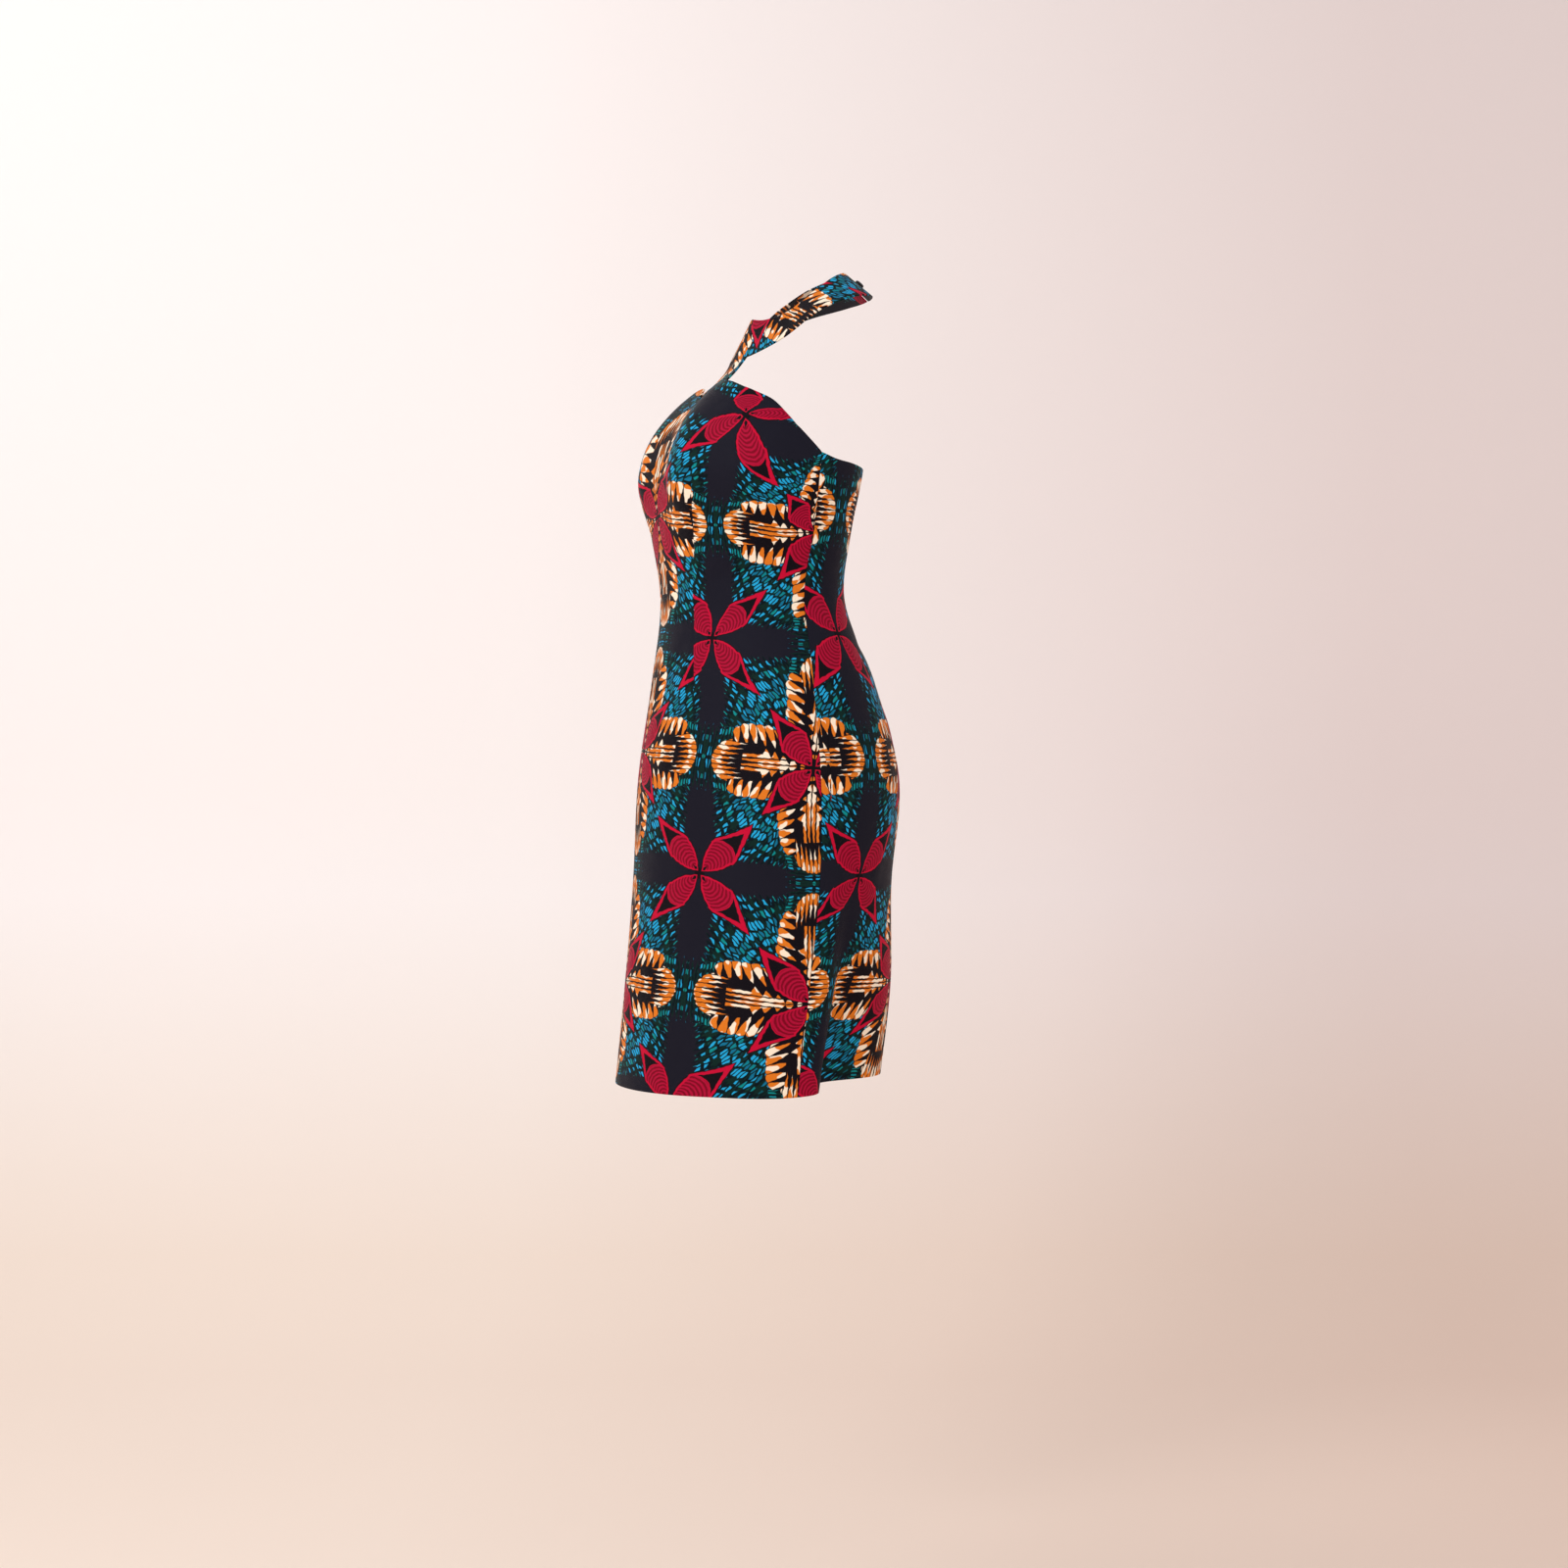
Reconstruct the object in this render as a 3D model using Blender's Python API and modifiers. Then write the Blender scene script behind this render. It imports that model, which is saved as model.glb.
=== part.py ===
"""Sleeveless fitted dress of printed cotton, in the hollow form that it takes when it is worn.

A strapless sheath with a sweetheart neckline hangs from a halter collar by one centre strap.
Metres, +Z up.  The wearer faces -Y and the wearer's left is +X.  The origin is the centre of
the collar's neck edge.  Below the waist the skirt is turned a little, as on a wearer whose
left leg is in front.
"""
import math

import bmesh
import bpy
import numpy as np
from mathutils import Matrix, Vector

# Walls and gaps
PANEL_WALL = 0.0015
COLLAR_WALL = 0.0020
SEAM_GAP = 0.0003

# The dress tube, seen as level sections.  Each row is one height on the wearer.
# half_width: centre to side.  front_depth, back_depth: side line to centre front and back.
# front_square, back_square: how far the corners fill out.  side_y: where the side line lies.
# turn: how far the wearer's left side comes forward, in degrees.  cup: how far the cups that
# the darts make stand out.  side_seam: the seam's angle round from centre front, in degrees.
SECTION_COLUMNS = ("z", "half_width", "front_depth", "back_depth", "front_square",
                   "back_square", "side_y", "turn", "cup", "side_seam")
SECTIONS = (
    (-0.889, 0.163, 0.1510, 0.146, 0.02, 0.04, -0.055, 8.0, 0.000, 99.0),    # hem
    (-0.768, 0.166, 0.1480, 0.149, 0.01, 0.04, -0.046, 8.0, 0.000, 100.5),   # thigh
    (-0.658, 0.168, 0.1470, 0.140, 0.00, 0.04, -0.038, 8.0, 0.000, 102.5),   # below the seat
    (-0.537, 0.168, 0.1465, 0.142, 0.00, 0.04, -0.032, 8.0, 0.000, 100.5),   # hip
    (-0.438, 0.154, 0.1300, 0.116, 0.02, 0.06, -0.034, 6.0, 0.000, 98.5),    # high hip
    (-0.339, 0.130, 0.1025, 0.093, 0.05, 0.10, -0.050, 1.5, 0.000, 101.0),   # waist
    (-0.273, 0.145, 0.1045, 0.100, 0.08, 0.12, -0.053, 0.0, 0.002, 103.5),   # under the bust
    (-0.201, 0.156, 0.1045, 0.112, 0.12, 0.16, -0.053, 0.0, 0.015, 103.5),   # bust
    (-0.152, 0.149, 0.0950, 0.107, 0.12, 0.16, -0.044, 0.0, 0.015, 103.5),   # upper bust
    (-0.118, 0.142, 0.0780, 0.100, 0.10, 0.16, -0.033, 0.0, 0.013, 103.5),   # top of the cups
    (-0.090, 0.136, 0.0500, 0.090, 0.08, 0.16, -0.030, 0.0, 0.007, 103.5),
)
CUP_CENTRE = 0.076
CUP_HALF_WIDTH = 0.044

CENTRE_BACK = 180.0     # angle of the centre back seam, in degrees

# Edges: height at an angle from centre front, the same on both sides
EDGE_COLUMNS = ("angle", "z")
FRONT_TOP_EDGE = (
    (0.0, -0.1215),     # point of the sweetheart
    (6.0, -0.1125),
    (12.0, -0.1045),
    (18.0, -0.1020),    # peak of the cup
    (26.0, -0.1040),
    (36.0, -0.1085),
    (48.0, -0.1165),
    (60.0, -0.1265),
    (72.0, -0.1375),
    (84.0, -0.1555),
    (92.0, -0.1705),
    (103.5, -0.1930),   # underarm
)
BACK_TOP_EDGE = ((103.5, -0.1930), (112.0, -0.1985), (125.0, -0.2015), (180.0, -0.2030))
HEM_EDGE = ((0.0, -0.8800), (60.0, -0.8800), (99.0, -0.8805), (112.0, -0.8780),
            (130.0, -0.8730), (180.0, -0.8710))

# Folds that sink into the skirt from a height down to the hem.
# Columns: angle, top z, depth at the hem, and the angles over which the fold dies away towards
# the front and towards the back.
FOLDS = (
    (121.0, -0.600, 0.060, 8.0, 30.0),
    (-132.0, -0.640, 0.020, 18.0, 20.0),
)
FOLD_POWER = 1.6

# Grids: how many faces lie across and up each panel
FRONT_GRID = (28, 38)
BACK_GRID = (14, 34)
PLACE_PASSES = 4

# Collar: its neck edge is an oval round the neck.  From each point of it the band runs
# outwards and down by its width, at a slope from the level.
NECK_HALF_WIDTH = 0.055
NECK_HALF_DEPTH = 0.053
COLLAR_COLUMNS = ("angle", "z", "width", "slope")
COLLAR = (
    (0.0, -0.0290, 0.0510, 66.0),
    (30.0, -0.0330, 0.0480, 60.0),
    (60.0, -0.0260, 0.0460, 48.0),
    (90.0, -0.0040, 0.0430, 33.0),
    (120.0, 0.0150, 0.0430, 35.0),
    (150.0, 0.0240, 0.0420, 40.0),
    (180.0, 0.0270, 0.0425, 41.0),
)
COLLAR_OPENING = 0.0036
COLLAR_GRID = (30, 4)
STRAP_COLUMNS_EACH_SIDE = 4

# Strap: from the collar's edge down the chest, then behind the point of the neckline
STRAP_FLARE_HALF_WIDTH = 0.0300
STRAP_TUCK_HALF_WIDTH = 0.0235
# Columns: y, z, half width, and how much the strap bends round the chest (per metre).
STRAP_PATH = (
    (-0.0755, -0.0820, 0.0275, 2.4),
    (-0.0805, -0.0890, 0.0265, 2.2),
    (-0.0880, -0.0975, 0.0260, 2.0),
)
STRAP_TUCK_ROWS = (0.0, 0.5, 1.0, 1.6)      # rows of the front panel below its top edge
STRAP_TUCK_GAP = 0.0009

# Zip in the centre back seam
ZIP_TAPE_WIDTH = 0.024
ZIP_TAPE_WALL = 0.0010
ZIP_TAPE_ROWS = (15.0, 0.2)                 # rows of the back panel, down from its top edge
SLIDER_DROP = 0.0065
SLIDER_SIZE = (0.0046, 0.0018, 0.0090)
SLIDER_EDGE = 0.0004
LUG_SIZE = (0.0009, 0.0030, 0.0030)
PIN_RADIUS = 0.00055
PIN_STAND_OFF = 0.0037
PULL_EYE_RADIUS = 0.0015
PULL_HOLE_RADIUS = 0.00085
PULL_WIDTH = 0.0021
PULL_LENGTH = 0.0190
PULL_LEAF_START = 0.0011
PULL_TIP_RADIUS = 0.0030
PULL_TIP_SWEEP = range(-80, 81, 20)         # degrees round the tip
PULL_THICKNESS = 0.0011

# Button and loop at the nape
BUTTON_RADIUS = 0.0055
BUTTON_THICKNESS = 0.0026
BUTTON_RIM = 0.0006
BUTTON_STEPS = 28
SHANK_RADIUS = 0.0014
SHANK_HEIGHT = 0.0022
BUTTON_ACROSS = 0.0085
LOOP_RADIUS = 0.0007
LOOP_ANCHOR = 0.0075
LOOP_TURN = range(65, -66, -26)             # degrees round the shank
LOOP_LEG_POINTS = 8

MERGE = 0.00005
CURVE_MERGE = 0.000001
COLLECTION = "printed_halter_dress"


def column(rows, names, name):
    """One named column of a table, as an array."""
    return np.array([row[names.index(name)] for row in rows])


def eased(places, values, at):
    """A smooth curve through a table's column, read at one or many places."""
    slopes = np.gradient(values, places)
    index = np.clip(np.searchsorted(places, at) - 1, 0, len(places) - 2)
    span = places[index + 1] - places[index]
    f = np.clip((at - places[index]) / span, 0.0, 1.0)
    start = (2 * f ** 3 - 3 * f ** 2 + 1) * values[index]
    leave = (f ** 3 - 2 * f ** 2 + f) * span * slopes[index]
    end = (3 * f ** 2 - 2 * f ** 3) * values[index + 1]
    arrive = (f ** 3 - f ** 2) * span * slopes[index + 1]
    return start + leave + end + arrive


def section_value(name, z):
    heights = column(SECTIONS, SECTION_COLUMNS, "z")
    return eased(heights, column(SECTIONS, SECTION_COLUMNS, name), z)


def collar_value(name, degrees):
    angles = column(COLLAR, COLLAR_COLUMNS, "angle")
    return eased(angles, column(COLLAR, COLLAR_COLUMNS, name), np.abs(degrees))


def edge_height(edge, degrees):
    angles = column(edge, EDGE_COLUMNS, "angle")
    return eased(angles, column(edge, EDGE_COLUMNS, "z"), np.abs(degrees))


def fold_depth(degrees, z):
    """How far the folds draw the cloth in at an angle and height."""
    total = 0.0
    hem = SECTIONS[0][0]
    for angle, top_z, depth, front_width, back_width in FOLDS:
        away = (degrees - angle) * math.copysign(1.0, angle)
        width = np.where(away < 0.0, front_width, back_width)
        fall = np.clip((top_z - z) / (top_z - hem), 0.0, 1.0) ** FOLD_POWER
        total = total + depth * fall * np.exp(-(away / width) ** 2)
    return total


def body_points(degrees, z):
    """Points of the dress tube's outer face, as an array with x, y, z last."""
    degrees, z = np.broadcast_arrays(np.asarray(degrees, float), np.asarray(z, float))
    sine, cosine = np.sin(np.radians(degrees)), np.cos(np.radians(degrees))
    in_front = cosine > 0.0
    depth = np.where(in_front, section_value("front_depth", z), section_value("back_depth", z))
    square = np.where(in_front, section_value("front_square", z), section_value("back_square", z))
    x = section_value("half_width", z) * sine * (1 + square * cosine ** 2)
    y = -depth * cosine * (1 + square * sine ** 2)
    cup = section_value("cup", z) * np.exp(-((np.abs(x) - CUP_CENTRE) / CUP_HALF_WIDTH) ** 2)
    y = y - np.where(in_front, cup, 0.0)
    drawn_in = 1.0 - fold_depth(degrees, z) / np.hypot(x, y)
    x, y = x * drawn_in, y * drawn_in
    turn = np.radians(section_value("turn", z))
    turned_x = x * np.cos(turn) + y * np.sin(turn)
    turned_y = y * np.cos(turn) - x * np.sin(turn)
    return np.stack([turned_x, turned_y + section_value("side_y", z), z], axis=-1)


def body_normals(degrees, z):
    """Outward unit normals of the dress tube."""
    angle_step, height_step = 0.05, 0.0002
    around = body_points(degrees + angle_step, z) - body_points(degrees - angle_step, z)
    up = body_points(degrees, z + height_step) - body_points(degrees, z - height_step)
    normals = np.cross(around, up)
    return normals / np.linalg.norm(normals, axis=-1, keepdims=True)


def degrees_for(distance, degrees, z):
    """The angle that spans a distance of cloth at a place on the tube."""
    step = 0.5
    chord = body_points(degrees + step, z) - body_points(degrees - step, z)
    return 2 * step * distance / np.linalg.norm(chord, axis=-1)


def collar_points(degrees, down):
    """A point of the collar's outer face.  down runs from 0 at the neck edge to 1."""
    degrees = np.asarray(degrees, float)
    width = collar_value("width", degrees)
    slope = np.radians(collar_value("slope", degrees))
    sine, cosine = np.sin(np.radians(degrees)), np.cos(np.radians(degrees))
    reach = down * width * np.cos(slope)
    x = (NECK_HALF_WIDTH + reach) * sine
    y = -(NECK_HALF_DEPTH + reach) * cosine
    return np.stack([x, y, collar_value("z", degrees) - down * width * np.sin(slope)], axis=-1)


def collar_reach(degrees, down):
    """How far the collar stands out from the neck edge, measured level."""
    slope = np.radians(collar_value("slope", degrees))
    return float(down * collar_value("width", degrees) * np.cos(slope))


def grid_faces(rows, columns):
    """Quads of a grid whose rows run up and whose columns run round, facing outwards."""
    faces = []
    for row in range(rows - 1):
        for place in range(columns - 1):
            corner = row * columns + place
            faces.append((corner, corner + 1, corner + columns + 1, corner + columns))
    return faces


def new_object(name, shape, collection, material):
    item = bpy.data.objects.new(name, shape)
    collection.objects.link(item)
    shape.materials.append(material)
    return item


def mesh_from(name, points, faces):
    mesh = bpy.data.meshes.new(name)
    mesh.from_pydata([tuple(map(float, point)) for point in points], [], faces)
    mesh.shade_smooth()
    return mesh


def add_wall(item, thickness):
    """Give an open sheet its wall, on the inside of the face that it is modelled on."""
    wall = item.modifiers.new("wall", "SOLIDIFY")
    wall.thickness = thickness
    wall.offset = -1.0
    wall.use_even_offset = True


def make_material(name, colour, roughness, metallic=0.0):
    material = bpy.data.materials.new(name)
    material.use_nodes = True
    shader = material.node_tree.nodes["Principled BSDF"]
    shader.inputs["Base Color"].default_value = (*colour, 1.0)
    shader.inputs["Roughness"].default_value = roughness
    shader.inputs["Metallic"].default_value = metallic
    return material


def seam_angle(seam, z):
    """The angle of a named seam at a height."""
    if seam.startswith("centre"):
        return np.full_like(z, CENTRE_BACK if seam.endswith("left") else -CENTRE_BACK)
    return section_value("side_seam", z) * (1.0 if seam.endswith("left") else -1.0)


def panel_places(start_seam, end_seam, top_edge, grid):
    """Angles and heights of a panel's points, from the hem up, between two seams."""
    across, up = grid
    place = np.linspace(0.0, 1.0, across + 1)
    share = np.linspace(0.0, 1.0, up + 1)[:, None]
    level = HEM_EDGE[0][1] + (top_edge[-1][1] - HEM_EDGE[0][1]) * share
    for _ in range(PLACE_PASSES):   # a seam's angle depends on the height, and an edge on both
        start, end = seam_angle(start_seam, level[:, :1]), seam_angle(end_seam, level[:, -1:])
        start = start + degrees_for(SEAM_GAP / 2, start, level[:, :1])
        end = end - degrees_for(SEAM_GAP / 2, end, level[:, -1:])
        degrees = start + (end - start) * place
        bottom = edge_height(HEM_EDGE, degrees[0])
        top = edge_height(top_edge, degrees[-1])
        level = bottom + (top - bottom) * share
    tape = degrees_for(ZIP_TAPE_WIDTH / 2, CENTRE_BACK, level[:, 0])
    if end_seam.startswith("centre"):
        degrees[:, -2] = CENTRE_BACK - tape
    if start_seam.startswith("centre"):
        degrees[:, 1] = tape - CENTRE_BACK
    return degrees, level


def front_places():
    return panel_places("side_right", "side_left", FRONT_TOP_EDGE, FRONT_GRID)


def back_places(side):
    if side == "left":
        return panel_places("side_left", "centre_left", BACK_TOP_EDGE, BACK_GRID)
    return panel_places("centre_right", "side_right", BACK_TOP_EDGE, BACK_GRID)


def make_panel(name, places, collection, material):
    rows, columns = places[0].shape
    points = body_points(*places).reshape(-1, 3)
    item = new_object(name, mesh_from(name, points, grid_faces(rows, columns)), collection, material)
    add_wall(item, PANEL_WALL)
    return item


def behind_panel(places, rows_down, columns_in, gap):
    """Points just behind a panel's wall, between the panel's own points."""
    inner = body_points(*places) - (PANEL_WALL + gap) * body_normals(*places)
    row = inner.shape[0] - 1 - rows_down
    low_row = min(int(row), inner.shape[0] - 2)
    low_column = np.minimum(np.floor(columns_in).astype(int), inner.shape[1] - 2)
    along = (columns_in - low_column)[:, None]
    lower, upper = (inner[level, low_column] * (1 - along) + inner[level, low_column + 1] * along
                    for level in (low_row, low_row + 1))
    return lower + (upper - lower) * (row - low_row)


def strap_rows(columns):
    """Rows of strap points from the collar's edge down, each from the right to the left."""
    across = np.linspace(-1.0, 1.0, columns)
    rows = []
    for y, z, half_width, bend in STRAP_PATH:
        x = across * half_width
        rows.append(np.stack([x, y + bend * x ** 2, np.full(columns, z)], axis=-1))
    front = front_places()
    middle = FRONT_GRID[0] // 2
    column_width = np.linalg.norm(np.diff(body_points(*front)[-1, middle:middle + 2], axis=0))
    for rows_down in STRAP_TUCK_ROWS:
        places = middle + across * STRAP_TUCK_HALF_WIDTH / column_width
        rows.append(behind_panel(front, rows_down, places, STRAP_TUCK_GAP))
    return rows


def make_collar(collection, material):
    """The collar band, open at the nape, and the strap that is cut in one with it."""
    each_side, down = COLLAR_GRID
    opening = math.degrees(COLLAR_OPENING / 2 / NECK_HALF_DEPTH)
    front_radius = NECK_HALF_DEPTH + collar_reach(0.0, 1.0)
    strap_edge = math.degrees(math.asin(STRAP_FLARE_HALF_WIDTH / front_radius))
    near = np.linspace(0.0, strap_edge, STRAP_COLUMNS_EACH_SIDE + 1)
    far = np.linspace(strap_edge, CENTRE_BACK - opening, each_side - STRAP_COLUMNS_EACH_SIDE + 1)
    half = np.concatenate([near, far[1:]])
    degrees = np.concatenate([-half[:0:-1], half])
    count = len(degrees)
    rows = [collar_points(degrees, share) for share in np.linspace(0.0, 1.0, down + 1)]
    points = list(np.concatenate(rows))
    faces = [face[::-1] for face in grid_faces(down + 1, count)]

    strap_count = 2 * STRAP_COLUMNS_EACH_SIDE + 1
    first = down * count + count // 2 - STRAP_COLUMNS_EACH_SIDE
    above = list(range(first, first + strap_count))
    for row in strap_rows(strap_count):
        below = list(range(len(points), len(points) + strap_count))
        points.extend(row)
        for place in range(strap_count - 1):
            faces.append((below[place], below[place + 1], above[place + 1], above[place]))
        above = below
    item = new_object("collar", mesh_from("collar", points, faces), collection, material)
    add_wall(item, COLLAR_WALL)
    return item


def frame_at(origin, across, outward):
    """A matrix with its X along across, its Y pointing outwards and its Z up the cloth."""
    y = Vector(outward).normalized()
    x = Vector(across)
    x = (x - y * x.dot(y)).normalized()
    z = x.cross(y)
    turn = Matrix((x, y, z)).transposed()
    return Matrix.Translation(Vector(origin)) @ turn.to_4x4()


def make_zip_tape(collection, material):
    """The zip's closed tape, just behind the two back panels."""
    left, right = back_places("left"), back_places("right")
    lowest, highest = ZIP_TAPE_ROWS
    levels = [*np.arange(lowest, highest, -1.0)[:-1], highest]
    rows = []
    for level in levels:
        outer_left, seam_left = behind_panel(left, level, BACK_GRID[0] - np.array([1.0, 0.0]), SEAM_GAP)
        seam_right, outer_right = behind_panel(right, level, np.array([0.0, 1.0]), SEAM_GAP)
        rows.append([outer_left, (seam_left + seam_right) / 2, outer_right])
    points = np.array(rows).reshape(-1, 3)
    mesh = mesh_from("zip_tape", points, grid_faces(len(rows), 3))
    item = new_object("zip_tape", mesh, collection, material)
    add_wall(item, ZIP_TAPE_WALL)
    return item


def box(size, centre):
    bpy.ops.mesh.primitive_cube_add(size=1.0, location=centre)
    item = bpy.context.object
    item.scale = size
    bpy.ops.object.transform_apply(location=True, rotation=False, scale=True)
    return item


def rod(radius, length, centre, segments=16):
    """A cylinder along X."""
    bpy.ops.mesh.primitive_cylinder_add(vertices=segments, radius=radius, depth=length,
                                        location=centre, rotation=(0.0, math.pi / 2, 0.0))
    item = bpy.context.object
    bpy.ops.object.transform_apply(location=True, rotation=True, scale=True)
    return item


def join_solids(base, others, operation="UNION"):
    """Boolean the others into the base, apply, and remove them."""
    for other in others:
        step = base.modifiers.new("join", "BOOLEAN")
        step.operation = operation
        step.object = other
        depsgraph = bpy.context.evaluated_depsgraph_get()
        mesh = bpy.data.meshes.new_from_object(base.evaluated_get(depsgraph))
        base.modifiers.clear()
        base.data = mesh
        bpy.data.objects.remove(other)
    return base


def settle(item, name, collection, material, place):
    """Name a modelled item, move it to its collection and set it in its place."""
    item.name = name
    item.data.name = name
    for holder in list(item.users_collection):
        holder.objects.unlink(item)
    collection.objects.link(item)
    item.data.materials.clear()
    item.data.materials.append(material)
    item.matrix_world = place
    return item


def zip_head_frame():
    """The slider's place: on the outer face of the centre back seam, near its top."""
    z = BACK_TOP_EDGE[-1][1] - SLIDER_DROP
    normal = body_normals(CENTRE_BACK, z)
    return frame_at(body_points(CENTRE_BACK, z) + SEAM_GAP * normal, (1.0, 0.0, 0.0), normal)


def make_zip_slider(collection, material):
    """A slider body with two lugs and the pin that carries the pull."""
    width, depth = SLIDER_SIZE[:2]
    lug_width, lug_depth = LUG_SIZE[:2]
    body = box(SLIDER_SIZE, (0.0, depth / 2, 0.0))
    edge = body.modifiers.new("edge", "BEVEL")
    edge.width = SLIDER_EDGE
    edge.segments = 2
    lug_y = depth - SLIDER_EDGE + lug_depth / 2
    lugs = [box(LUG_SIZE, (side * (width - lug_width) / 2, lug_y, 0.0)) for side in (-1.0, 1.0)]
    pin = rod(PIN_RADIUS, width - lug_width, (0.0, PIN_STAND_OFF, 0.0))
    join_solids(body, lugs + [pin])
    return settle(body, "zip_slider", collection, material, zip_head_frame())


def pull_leaf(collection):
    """The flat leaf of the pull, hanging from the pin, as a closed mesh object."""
    outline = bpy.data.curves.new("pull_outline", "CURVE")
    outline.dimensions = "2D"
    outline.fill_mode = "BOTH"
    outline.extrude = PULL_THICKNESS / 2
    tip_centre = PULL_LENGTH - PULL_TIP_RADIUS
    tip = [(PULL_TIP_RADIUS * math.sin(a), -tip_centre - PULL_TIP_RADIUS * math.cos(a))
           for a in map(math.radians, PULL_TIP_SWEEP)]
    neck = PULL_WIDTH / 2
    corners = [(-neck, -PULL_LEAF_START), *tip, (neck, -PULL_LEAF_START)]
    spline = outline.splines.new("POLY")
    spline.points.add(len(corners) - 1)
    spline.use_cyclic_u = True
    for point, corner in zip(spline.points, corners):
        point.co = (*corner, 0.0, 1.0)
    flat = bpy.data.objects.new("pull_leaf", outline)
    collection.objects.link(flat)
    mesh = bpy.data.meshes.new_from_object(flat.evaluated_get(bpy.context.evaluated_depsgraph_get()))
    mesh.transform(Matrix.Rotation(math.pi / 2, 4, "X"))
    bpy.data.objects.remove(flat)
    weld = bmesh.new()
    weld.from_mesh(mesh)
    bmesh.ops.remove_doubles(weld, verts=weld.verts, dist=CURVE_MERGE)
    bmesh.ops.recalc_face_normals(weld, faces=weld.faces)
    weld.to_mesh(mesh)
    weld.free()
    leaf = bpy.data.objects.new("pull_leaf", mesh)
    collection.objects.link(leaf)
    return leaf


def make_zip_pull(collection, material):
    """The pull: an eye on the slider's pin and a leaf that widens to a round tip."""
    pin = zip_head_frame() @ Vector((0.0, PIN_STAND_OFF, 0.0))
    eye = rod(PULL_EYE_RADIUS, PULL_WIDTH, (0.0, 0.0, 0.0))
    join_solids(eye, [pull_leaf(collection)])
    join_solids(eye, [rod(PULL_HOLE_RADIUS, 2 * PULL_WIDTH, (0.0, 0.0, 0.0))], "DIFFERENCE")
    return settle(eye, "zip_pull", collection, material, Matrix.Translation(pin))


def nape_frame(across, lift, down=0.5):
    """A place above the collar's outer face, a distance to the left of the nape opening."""
    degrees = CENTRE_BACK - math.degrees(across / (NECK_HALF_DEPTH + collar_reach(CENTRE_BACK, 0.5)))
    origin = collar_points(degrees, down)
    along = collar_points(degrees - 1.0, down) - collar_points(degrees + 1.0, down)
    fall = collar_points(degrees, down + 0.1) - collar_points(degrees, down - 0.1)
    outward = np.cross(along, fall)
    outward = outward / np.linalg.norm(outward)
    return frame_at(origin + lift * outward, along, outward)


def make_button(collection, material):
    """A button with a raised rim on a shank, turned about its own axis."""
    top = SHANK_HEIGHT + BUTTON_THICKNESS
    profile = [
        (0.0, top - BUTTON_RIM),
        (BUTTON_RADIUS - 2.0 * BUTTON_RIM, top - BUTTON_RIM),
        (BUTTON_RADIUS - 1.6 * BUTTON_RIM, top),
        (BUTTON_RADIUS - 0.6 * BUTTON_RIM, top),
        (BUTTON_RADIUS, top - BUTTON_RIM),
        (BUTTON_RADIUS, SHANK_HEIGHT + BUTTON_RIM),
        (BUTTON_RADIUS - BUTTON_RIM, SHANK_HEIGHT),
        (SHANK_RADIUS, SHANK_HEIGHT),
        (SHANK_RADIUS, 0.0),
        (0.0, 0.0),
    ]
    points = [(radius, 0.0, height) for radius, height in profile]
    mesh = bpy.data.meshes.new("button")
    mesh.from_pydata(points, [(i, i + 1) for i in range(len(points) - 1)], [])
    item = new_object("button", mesh, collection, material)
    turned = item.modifiers.new("turned", "SCREW")
    turned.axis = "Z"
    turned.steps = BUTTON_STEPS
    turned.render_steps = BUTTON_STEPS
    turned.use_merge_vertices = True
    turned.merge_threshold = MERGE
    item.matrix_world = nape_frame(BUTTON_ACROSS, SEAM_GAP) @ Matrix.Rotation(-math.pi / 2, 4, "X")
    return item


def make_loop(collection, material):
    """The cord loop: from the right end of the collar round the button's shank and back."""
    bend = SHANK_RADIUS + SEAM_GAP + LOOP_RADIUS
    leg = np.linspace(-LOOP_ANCHOR, BUTTON_ACROSS, LOOP_LEG_POINTS)
    path = [(across, bend) for across in leg]
    path += [(BUTTON_ACROSS + bend * math.cos(a), bend * math.sin(a))
             for a in map(math.radians, LOOP_TURN)]
    path += [(across, -bend) for across in leg[::-1]]
    curve = bpy.data.curves.new("button_loop", "CURVE")
    curve.dimensions = "3D"
    curve.bevel_depth = LOOP_RADIUS
    curve.bevel_resolution = 2
    curve.use_fill_caps = True
    spline = curve.splines.new("POLY")
    spline.points.add(len(path) - 1)
    back_width = float(collar_value("width", CENTRE_BACK))
    for point, (across, up) in zip(spline.points, path):
        place = nape_frame(across, SEAM_GAP + LOOP_RADIUS, 0.5 - up / back_width)
        point.co = (*place.translation, 1.0)
    return new_object("button_loop", curve, collection, material)


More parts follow.
